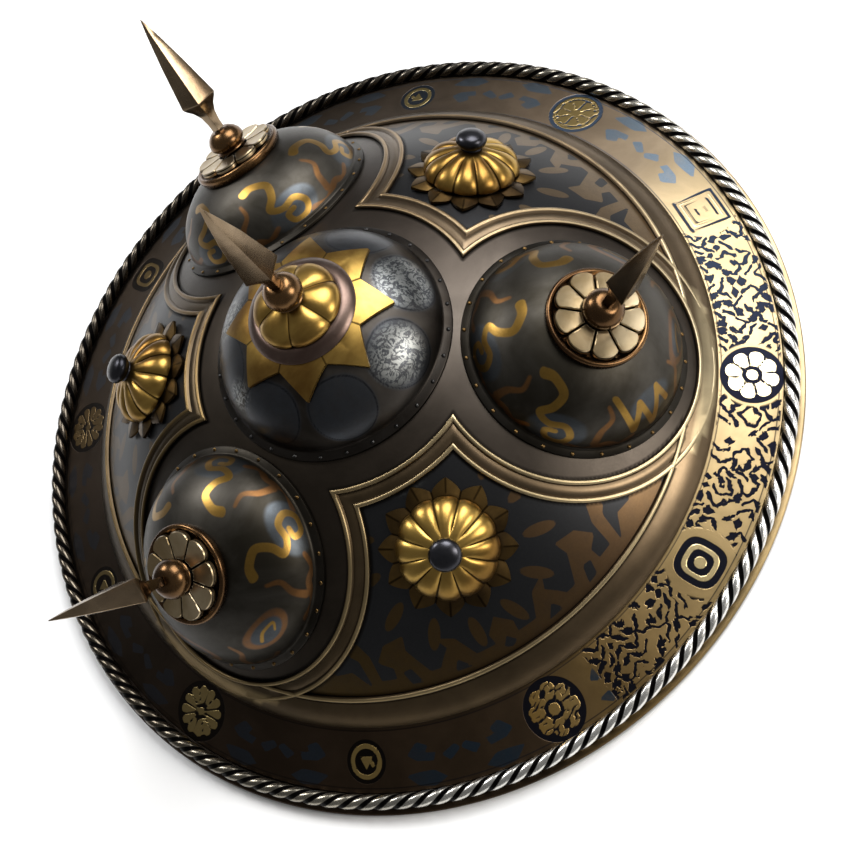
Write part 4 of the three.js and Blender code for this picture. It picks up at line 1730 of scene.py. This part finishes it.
@dataclass
class OuterDomes(SubAssembly):
    """The three outer domes, each with a dish, a flower, a collar and a spike."""

    polar: float = math.radians(32.1)
    lean: float = math.radians(1.2)
    dish_radius: float = 25.5 * MM
    dish_hole: float = 6 * MM
    petals: int = 9
    petal_tip: float = 22.6 * MM
    petal_notch: float = 18.2 * MM
    petal_hub: float = 8.4 * MM
    petal_height: float = 2.6 * MM
    collar_radius: float = 10.2 * MM
    collar_height: float = 12 * MM
    blade_length: float = 71.5 * MM

    def dish(self) -> bpy.types.Object:
        """Turns the polished dish under the flower, about the dome's top.

        Returns:
            The dish.
        """
        hole, edge = self.dish_hole, self.dish_radius
        drop = lambda r: OUTER_DOME.height - OUTER_DOME.height_at(r)
        gap = 0.5 * MM
        under = [(r, gap - drop(r)) for r in np.linspace(edge - 0.8 * MM, hole, 8)]
        profile = [
            (hole, 1.4 * MM), (edge * 0.5, 1.0 * MM), (edge * 0.74, 0.5 * MM), (edge * 0.84, 0.3 * MM),
            (edge * 0.88, 0.7 * MM), (edge * 0.91, 1.3 * MM), (edge * 0.94, 1.6 * MM),
            (edge * 0.97, 1.45 * MM),
            (edge * 0.995, 0.8 * MM), (edge, -0.4 * MM), (edge * 0.99, 0.1 * MM - drop(edge) * 0.6), *under,
        ]
        piece = lathe("dish", profile, 120, closed=True)
        facet(piece, 40)
        return piece

    def flower(self) -> bpy.types.Object:
        """Turns and carves the flower of rounded petals, about Z.

        Returns:
            The flower.
        """
        hub, tip, height = self.petal_hub, self.petal_tip, self.petal_height
        rows = np.linspace(hub, tip, 22)
        profile = [*((r, height) for r in rows), (tip, height * 0.4), (tip, 0), (hub, 0)]
        piece = lathe("flower", profile, self.petals * 30, closed=True)

        def carve(radius: Field, turn: Field, z: Field) -> tuple[Field, Field, Field]:
            """Carves the turned blank, point by point.

            Args:
                radius: distance from the axis.
                turn: each point's turn about the axis.
                z: height of each point.

            Returns:
                The new radius and height, and how deep in a crease it lies, 0 to 1, kept for painted shade.
            """
            side = np.abs(fold(turn, self.petals))
            part = (radius - hub) / (tip - hub)
            reach = self.petal_notch + (tip - self.petal_notch) * np.sqrt(np.clip(1 - side**2.4, 0, 1))
            new_radius = hub + (reach - hub) * part
            half = new_radius * TAU / self.petals / 2
            to_side = (1 - side) * half / (0.9 * MM)
            to_end = np.minimum((new_radius - hub) / (0.9 * MM), (reach - new_radius) / (0.8 * MM) + 0.35)
            inside = smooth(np.minimum(to_side, to_end))
            hollow = 0.5 * MM * np.sqrt(np.clip(1 - side**2, 0, 1)) * np.sin(np.pi * np.clip(part, 0, 1))
            top = height * (0.45 + 0.55 * inside) - hollow * 0.6
            upper = z > height * 0.9
            new_z = np.where(upper, top, np.where(z > 0.1 * MM, np.minimum(top, height * 0.4), z))
            return new_radius, new_z, np.where(upper, 1 - inside, 0.0)

        shaped(piece, carve)
        facet(piece, 50)
        return piece

    def build(self) -> None:
        """Models each piece once and copies it to the three domes."""
        base = DISH.chord(OUTER_DOME.radius)
        top = base + OUTER_DOME.height
        flower_seat = top + 1.8 * MM
        collar_seat = flower_seat + self.petal_height + 0.8 * MM
        spike_seat = collar_seat + self.collar_height + 0.3 * MM
        dome_finish, brass, petal, blade = (f.build() for f in (GUNMETAL, BRASS, PETAL, BLADE_STEEL))
        parts = (
            (
                "dome_shell", DomeShell(OUTER_DOME, DomeInlay()).model("dome"), base, 0.0, dome_finish,
                "dome", "dome"
            ),
            ("polished_dish", self.dish(), top, 0.0, brass, "brass", "dish"),
            ("petal_flower", self.flower(), flower_seat, 0.0, petal, "petal", "flower"),
            (
                "ball_collar", collar("collar", self.collar_radius, self.collar_height), collar_seat,
                0.0, brass, "brass", "collar"
            ),
            (
                "spike_blade", spike("spike", self.blade_length, 0.25), spike_seat, self.lean, blade,
                "blade", "spike"
            ),
        )
        for label, pattern, distance, lean, finish, slot, node in parts:
            for name, azimuth in OUTER_AZIMUTHS.items():
                piece = copied(pattern, f"{name}_{label}")
                DISH.seat(piece, Place(self.polar, azimuth, distance, lean))
                self.hand_over(piece, finish, slot, f"{name}_{node}")
            bpy.data.objects.remove(pattern)


@dataclass
class MiddleDome(SubAssembly):
    """The middle dome with its sunburst, ring, lobed cap, collar and spike."""

    points: int = 8
    star_tip: float = 45 * MM
    star_notch: float = 32 * MM
    star_hole: float = 14 * MM
    star_height: float = 1.3 * MM
    star_gap: float = 1.1 * MM
    star_turn: float = math.radians(5)
    ring_inner: float = 19.4 * MM
    ring_outer: float = 28.4 * MM
    ring_height: float = 2.4 * MM
    lobes: int = 6
    cap_radius: float = 22.6 * MM
    cap_height: float = 10.5 * MM
    collar_height: float = 13 * MM
    blade_length: float = 76.5 * MM
    blade_azimuth: float = math.radians(-45)

    def sunburst(self) -> bpy.types.Object:
        """Turns and carves the eight-pointed star that follows the dome.

        Returns:
            The star.
        """
        hole, tip, height = self.star_hole, self.star_tip, self.star_height
        rows = np.linspace(hole, tip, 26)
        profile = [*((r, height) for r in rows), (tip, 0), *((r, 0) for r in rows[-2::-4]), (hole, 0)]
        piece = lathe("gilt_sunburst", profile, self.points * 40, closed=True)

        def carve(radius: Field, turn: Field, z: Field) -> tuple[Field, Field, Field]:
            """Carves the turned blank, point by point.

            Args:
                radius: distance from the axis.
                turn: each point's turn about the axis.
                z: height of each point.

            Returns:
                The new radius and height, and how deep in a crease it lies, 0 to 1, kept for painted shade.
            """
            side = np.abs(fold(turn - self.star_turn, self.points))
            part = (radius - hole) / (tip - hole)
            half_sector = math.pi / self.points
            slant = tip * np.sin(side * half_sector) + self.star_notch * np.sin((1 - side) * half_sector)
            reach = tip * self.star_notch * math.sin(half_sector) / slant
            new_radius = hole + (reach - hole) * part
            crease = 0.7 * MM * (1 - side) * smooth((part - 0.25) / 0.5)
            upper = z > height / 2
            lift = self.star_gap + np.where(upper, height + crease, 0.5 * crease)
            sag = 0.5 * MM * part * side
            new_z = MIDDLE_DOME.height_at(new_radius) + lift + sag
            return new_radius, new_z, np.where(upper, smooth((side - 0.93) / 0.07), 0.0)

        shaped(piece, carve)
        facet(piece, 40)
        return piece

    def ring(self) -> bpy.types.Object:
        """Turns the plain ring between the sunburst and the cap.

        Returns:
            The ring.
        """
        inner, outer, height = self.ring_inner, self.ring_outer, self.ring_height
        fall = MIDDLE_DOME.height_at(inner) - MIDDLE_DOME.height_at(outer)
        profile = [
            (inner, height * 0.7), (inner + 1.2 * MM, height * 0.92), (inner + 3 * MM, height),
            (inner + 5 * MM, height * 0.86 - fall * 0.12), (outer - 2 * MM, height * 0.5 - fall * 0.42),
            (outer - 0.7 * MM, height * 0.3 - fall * 0.62), (outer, 0.4 * MM - fall * 0.95),
            (outer - 0.8 * MM, 0.2 * MM - fall * 0.8), (inner, 0.2 * MM),
        ]
        piece = lathe("bronze_ring", profile, 160, closed=True)
        facet(piece, 40)
        return piece

    def cap(self) -> bpy.types.Object:
        """Turns and carves the lobed cap.

        Returns:
            The cap.
        """
        profile = [
            *dome_profile(self.cap_radius, self.cap_height - 0.6 * MM, 26, 0.6 * MM),
            (self.cap_radius, 0), (0, 0)
        ]
        profile[0] = (0, self.cap_height)
        piece = lathe("lobed_cap", profile, self.lobes * 48)

        def carve(radius: Field, turn: Field, z: Field) -> tuple[Field, Field, Field]:
            """Carves the turned blank, point by point.

            Args:
                radius: distance from the axis.
                turn: each point's turn about the axis.
                z: height of each point.

            Returns:
                The new radius and height, and how deep in a crease it lies, 0 to 1, kept for painted shade.
            """
            side = np.abs(fold(turn, self.lobes))
            share = smooth(radius / self.cap_radius * 1.6)
            flute = side**3
            crease_shade = smooth((side - 0.93) / 0.06) * smooth(radius / (6 * MM))
            new_radius = radius * (1 - 0.055 * flute * share)
            new_z = z - 1.4 * MM * flute * share * (z > 0.7 * MM)
            return new_radius, new_z, crease_shade

        shaped(piece, carve)
        facet(piece, 50)
        return piece

    def build(self) -> None:
        """Models and seats the middle dome and what stands on it."""
        base = DISH.chord(MIDDLE_DOME.radius)
        cap_seat = base + MIDDLE_DOME.height + 3.4 * MM
        ring_seat = (
            base + MIDDLE_DOME.height_at(self.ring_inner)
            + self.star_gap + self.star_height + 0.3 * MM
        )
        collar_seat = cap_seat + self.cap_height + 0.3 * MM
        spike_seat = collar_seat + self.collar_height + 0.3 * MM
        parts = (
            (
                DomeShell(MIDDLE_DOME, MiddleDomeInlay(), rivets=28).model("center_dome_shell"), base,
                0.0, MIDDLE_GUNMETAL, "dome", "center_dome"
            ),
            (self.sunburst(), base, 0.0, GOLD, "gold", "center_sunburst"),
            (self.ring(), ring_seat, 0.0, RING_BRONZE, "bronze", "center_ring"),
            (self.cap(), cap_seat, 0.0, GOLD, "gold", "center_cap"),
            (
                collar("center_ball_collar", 10 * MM, self.collar_height), collar_seat, 0.0, BRASS,
                "brass", "center_collar"
            ),
            (
                spike("center_spike_blade", self.blade_length, 0.18), spike_seat, self.blade_azimuth,
                BLADE_STEEL, "blade", "center_spike"
            ),
        )
        for piece, distance, azimuth, finish, slot, node in parts:
            DISH.seat(piece, Place(0.0, azimuth, distance))
            self.hand_over(piece, finish.build(), slot, node)


@dataclass
class GiltBosses(SubAssembly):
    """The three pleated gilt bosses on leaf collars, with their knobs."""

    polar: float = math.radians(31.5)
    leaves: int = 12
    leaf_tip: float = 34 * MM
    leaf_notch: float = 27.5 * MM
    leaf_hole: float = 14 * MM
    leaf_height: float = 1.6 * MM
    pleats: int = 12
    cap_radius: float = 25.3 * MM
    cap_height: float = 13 * MM
    knob_radius: float = 8.2 * MM
    knob_height: float = 9 * MM

    def leaf_collar(self) -> bpy.types.Object:
        """Turns and carves the collar of pointed leaves.

        Returns:
            The collar.
        """
        hole, tip, notch, height = self.leaf_hole, self.leaf_tip, self.leaf_notch, self.leaf_height
        rows = np.linspace(hole, tip, 24)
        profile = [*((r, height) for r in rows), (tip, 0), *((r, 0) for r in rows[-2::-4]), (hole, 0)]
        piece = lathe("leaf_collar", profile, self.leaves * 32, closed=True)

        def carve(radius: Field, turn: Field, z: Field) -> tuple[Field, Field, Field]:
            """Carves the turned blank, point by point.

            Args:
                radius: distance from the axis.
                turn: each point's turn about the axis.
                z: height of each point.

            Returns:
                The new radius and height, and how deep in a crease it lies, 0 to 1, kept for painted shade.
            """
            side = np.abs(fold(turn, self.leaves))
            part = (radius - hole) / (tip - hole)
            reach = notch + (tip - notch) * (1 - side) ** 0.8
            new_radius = hole + (reach - hole) * part
            swell = 1.3 * MM * (1 - side**2) * smooth((new_radius - 22 * MM) / (4 * MM)) * (1 - 0.5 * part)
            upper = z > height / 2
            lift = np.where(upper, height * (0.75 + 0.25 * (1 - side)) + swell, 0.4 * MM + 0.3 * swell)
            drop = np.sqrt((DISH.radius + DISH.gap) ** 2 - new_radius**2) - DISH.radius
            gutter = np.maximum(
                smooth((side - 0.88) / 0.1), 0.8 * smooth((0.1 - side) / 0.06) * smooth((part - 0.55) / 0.1)
            )
            return new_radius, drop + lift, np.where(upper, gutter, 0.0)

        shaped(piece, carve)
        facet(piece, 45)
        return piece

    def cap(self) -> bpy.types.Object:
        """Turns and pleats the gilt cap.

        Returns:
            The cap.
        """
        profile = [
            *dome_profile(self.cap_radius, self.cap_height - 0.6 * MM, 30, 0.6 * MM),
            (self.cap_radius, 0), (0, 0)
        ]
        profile[0] = (0, self.cap_height)
        piece = lathe("pleated_cap", profile, self.pleats * 30)

        def carve(radius: Field, turn: Field, z: Field) -> tuple[Field, Field, Field]:
            """Carves the turned blank, point by point.

            Args:
                radius: distance from the axis.
                turn: each point's turn about the axis.
                z: height of each point.

            Returns:
                The new radius and height, and how deep in a crease it lies, 0 to 1, kept for painted shade.
            """
            side = np.abs(fold(turn, self.pleats))
            share = smooth((radius - 6 * MM) / (8 * MM))
            flute = side**2.6
            new_radius = radius * (1 - 0.045 * flute * share)
            new_z = z - 1.1 * MM * flute * share * (z > 0.7 * MM)
            return new_radius, new_z, smooth((side - 0.84) / 0.12) * share

        shaped(piece, carve)
        facet(piece, 50)
        return piece

    def knob(self) -> bpy.types.Object:
        """Turns the round knob on top of a boss.

        Returns:
            The knob.
        """
        around = [
            (0.4, 0.97), (0.75, 0.86), (0.93, 0.7), (1.0, 0.5), (0.95, 0.32), (0.82, 0.17), (0.7, 0.08),
            (0.72, 0.03), (0.72, 0)
        ]
        profile = [
            (0, self.knob_height), *((self.knob_radius * r, self.knob_height * z) for r, z in around), (0, 0)
        ]
        piece = lathe("knob", profile, 56)
        facet(piece, 40)
        return piece

    def build(self) -> None:
        """Models each piece once and copies it to the three bosses."""
        cap_seat = DISH.radius + self.leaf_height + 0.9 * MM
        parts = (
            ("leaf_ring", self.leaf_collar(), DISH.radius, LEAF_GOLD.build(), "gold", "leaves"),
            ("pleated_cap", self.cap(), cap_seat, GOLD.build(), "gold", "cap"),
            (
                "round_knob", self.knob(), cap_seat + self.cap_height + 0.3 * MM, KNOB_STEEL.build(),
                "knob", "knob"
            ),
        )
        for label, pattern, distance, finish, slot, node in parts:
            for name, azimuth in BOSS_AZIMUTHS.items():
                piece = copied(pattern, f"{name}_{label}")
                DISH.seat(piece, Place(self.polar, azimuth, distance))
                self.hand_over(piece, finish, slot, f"{name}_boss_{node}")
            bpy.data.objects.remove(pattern)


@dataclass
class Grip(SubAssembly):
    """The bowed bar behind the dish, with a rivet in each foot."""

    span: float = 50 * MM
    drop: float = 44 * MM
    width: float = 16 * MM
    thick: float = 5 * MM
    foot: float = 9 * MM
    gap: float = 1.9 * MM

    def under(self, x: float) -> float:
        """Returns the height of the foot's upper face below the plate at x."""
        return DISH.centre_z + math.sqrt((DISH.radius - 1.6 * MM - self.gap) ** 2 - x**2)

    def bar(self) -> bpy.types.Object:
        """Extrudes the bar's outline across its width and rounds its edges.

        Returns:
            The bar.
        """
        low = self.under(0) - self.drop
        inner, outer = self.span - self.foot, self.span + self.foot
        half = [
            (inner - 13 * MM, low), (inner - 8 * MM, low + 3 * MM), (inner, self.under(inner)),
            (outer, self.under(outer)),
            (outer, self.under(outer) - self.thick), (inner + 5 * MM, self.under(inner) - self.thick - MM),
            (inner - 3 * MM, low), (inner - 9 * MM, low - self.thick),
        ]
        outline = [*half, *((-x, z) for x, z in half[::-1])]
        deselect()
        bpy.ops.mesh.primitive_circle_add(vertices=len(outline), radius=self.span, fill_type="NGON")
        piece = bpy.context.object
        piece.name = "grip_bar"
        put_points(piece, np.array([(x, self.width / 2, z) for x, z in outline]))
        bpy.ops.object.mode_set(mode="EDIT")
        bpy.ops.mesh.select_all(action="SELECT")
        bpy.ops.mesh.extrude_region_move(TRANSFORM_OT_translate={"value": (0, -self.width, 0)})
        bpy.ops.mesh.select_all(action="SELECT")
        bpy.ops.mesh.normals_make_consistent(inside=False)
        bpy.ops.object.mode_set(mode="OBJECT")
        bevelled(piece, 1.6 * MM, 3, 35)
        facet(piece, 40)
        return piece

    def rivet(self, side: int) -> bpy.types.Object:
        """Turns one rivet and sets it under its foot.

        Args:
            side: -1 for the left foot, 1 for the right.

        Returns:
            The rivet.
        """
        radius, height = 4.2 * MM, 2.2 * MM
        inner, outer = self.span - self.foot, self.span + self.foot
        profile = [
            (0, -height), (radius * 0.4, -height * 0.96), (radius * 0.75, -height * 0.75),
            (radius * 0.95, -height * 0.4), (radius, 0), (0, 0)
        ]
        piece = lathe("grip_rivet_head_" + ("left" if side < 0 else "right"), profile, 36)
        tilt = math.atan((self.under(inner) - self.under(outer)) / (2 * self.foot))
        z = (self.under(inner) + self.under(outer)) / 2 - self.thick - 0.9 * MM
        piece.data.transform(
            Matrix.Translation((side * self.span, 0, z)) @ Matrix.Rotation(side * tilt, 4, "Y")
        )
        facet(piece, 40)
        return piece

    def build(self) -> None:
        """Builds and dresses the grip and its rivets."""
        self.hand_over(self.bar(), GRIP_IRON.build(), "grip", "grip")
        steel = KNOB_STEEL.build()
        for side, name in ((-1, "grip_rivet_left"), (1, "grip_rivet_right")):
            self.hand_over(self.rivet(side), steel, "knob", name)


# ---- studio -----------------------------------------------------------------------------


@dataclass(frozen=True)
class Lamp:
    """A soft square lamp that looks at the shield."""

    name: str
    azimuth: float
    elevation: float
    distance: float
    size: float
    power: float
    colour: RGB = (1.0, 1.0, 1.0)
    aim: float = 0.05

    def build(self) -> None:
        """Hangs the lamp."""
        a, e = math.radians(self.azimuth), math.radians(self.elevation)
        back = Vector((math.cos(a) * math.cos(e), math.sin(a) * math.cos(e), math.sin(e)))
        data = bpy.data.lights.new(self.name, "AREA")
        data.energy, data.size, data.color = self.power, self.size, self.colour
        lamp = bpy.data.objects.new(self.name, data)
        lamp.location = Vector((0, 0, self.aim)) + back * self.distance
        lamp.rotation_mode = "QUATERNION"
        lamp.rotation_quaternion = (-back).to_track_quat("-Z", "Y")
        bpy.context.scene.collection.objects.link(lamp)


@dataclass
class Studio:
    """A pale floor, soft lamps and the camera."""

    camera_place: tuple[float, float, float] = (0.31934, -0.31950, 0.75368)
    camera_right: tuple[float, float, float] = (0.933889, 0.065141, -0.351578)
    camera_up: tuple[float, float, float] = (0.069001, 0.931951, 0.355959)
    lens: float = 67.43
    world_light: float = 0.2
    floor_size: float = 8.0
    lamps: tuple[Lamp, ...] = (
        Lamp("key_lamp", 58, 52, 1.7, 1.0, 36),
        Lamp("side_lamp", -4, 26, 1.4, 0.5, 11, (1.0, 0.96, 0.9)),
        Lamp("far_lamp", 145, 42, 1.8, 0.5, 16),
    )

    def build(self) -> None:
        """Lays the floor and sets the lamps, the world and the camera."""
        scene = bpy.context.scene
        deselect()
        bpy.ops.mesh.primitive_plane_add(size=self.floor_size, location=(0, 0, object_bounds()[0].z - 0.3 * MM))
        floor = bpy.context.object
        floor.name = "studio_floor"
        pale = bpy.data.materials.new("pale_floor")
        pale.use_nodes = True
        shader = pale.node_tree.nodes["Principled BSDF"]
        shader.inputs["Base Color"].default_value = (0.9, 0.9, 0.9, 1)
        shader.inputs["Roughness"].default_value = 0.9
        floor.data.materials.append(pale)
        floor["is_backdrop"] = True
        world = bpy.data.worlds.new("studio_world")
        world.use_nodes = True
        world.node_tree.nodes["Background"].inputs["Color"].default_value = (1, 1, 1, 1)
        world.node_tree.nodes["Background"].inputs["Strength"].default_value = self.world_light
        scene.world = world
        for lamp in self.lamps:
            lamp.build()
        scene.view_settings.view_transform = "Standard"
        data = bpy.data.cameras.new("studio_camera")
        data.lens, data.sensor_width = self.lens, 36.0
        data.clip_start, data.clip_end = 0.01, 50.0
        camera = bpy.data.objects.new("studio_camera", data)
        right, up = Vector(self.camera_right), Vector(self.camera_up)
        turn = Matrix([right, up, right.cross(up)]).transposed().to_4x4()
        camera.matrix_world = Matrix.Translation(self.camera_place) @ turn
        scene.collection.objects.link(camera)
        scene.camera = camera


def main() -> None:
    """Builds every sub-assembly and the studio."""
    logging.basicConfig(level=logging.INFO, format="%(name)s: %(message)s")
    for part in (Plate(), RopeBead(), FrameMoulding(), OuterDomes(), MiddleDome(), GiltBosses(), Grip()):
        part.build()
    Studio().build()
    deselect()


if __name__ == "__main__":
    main()
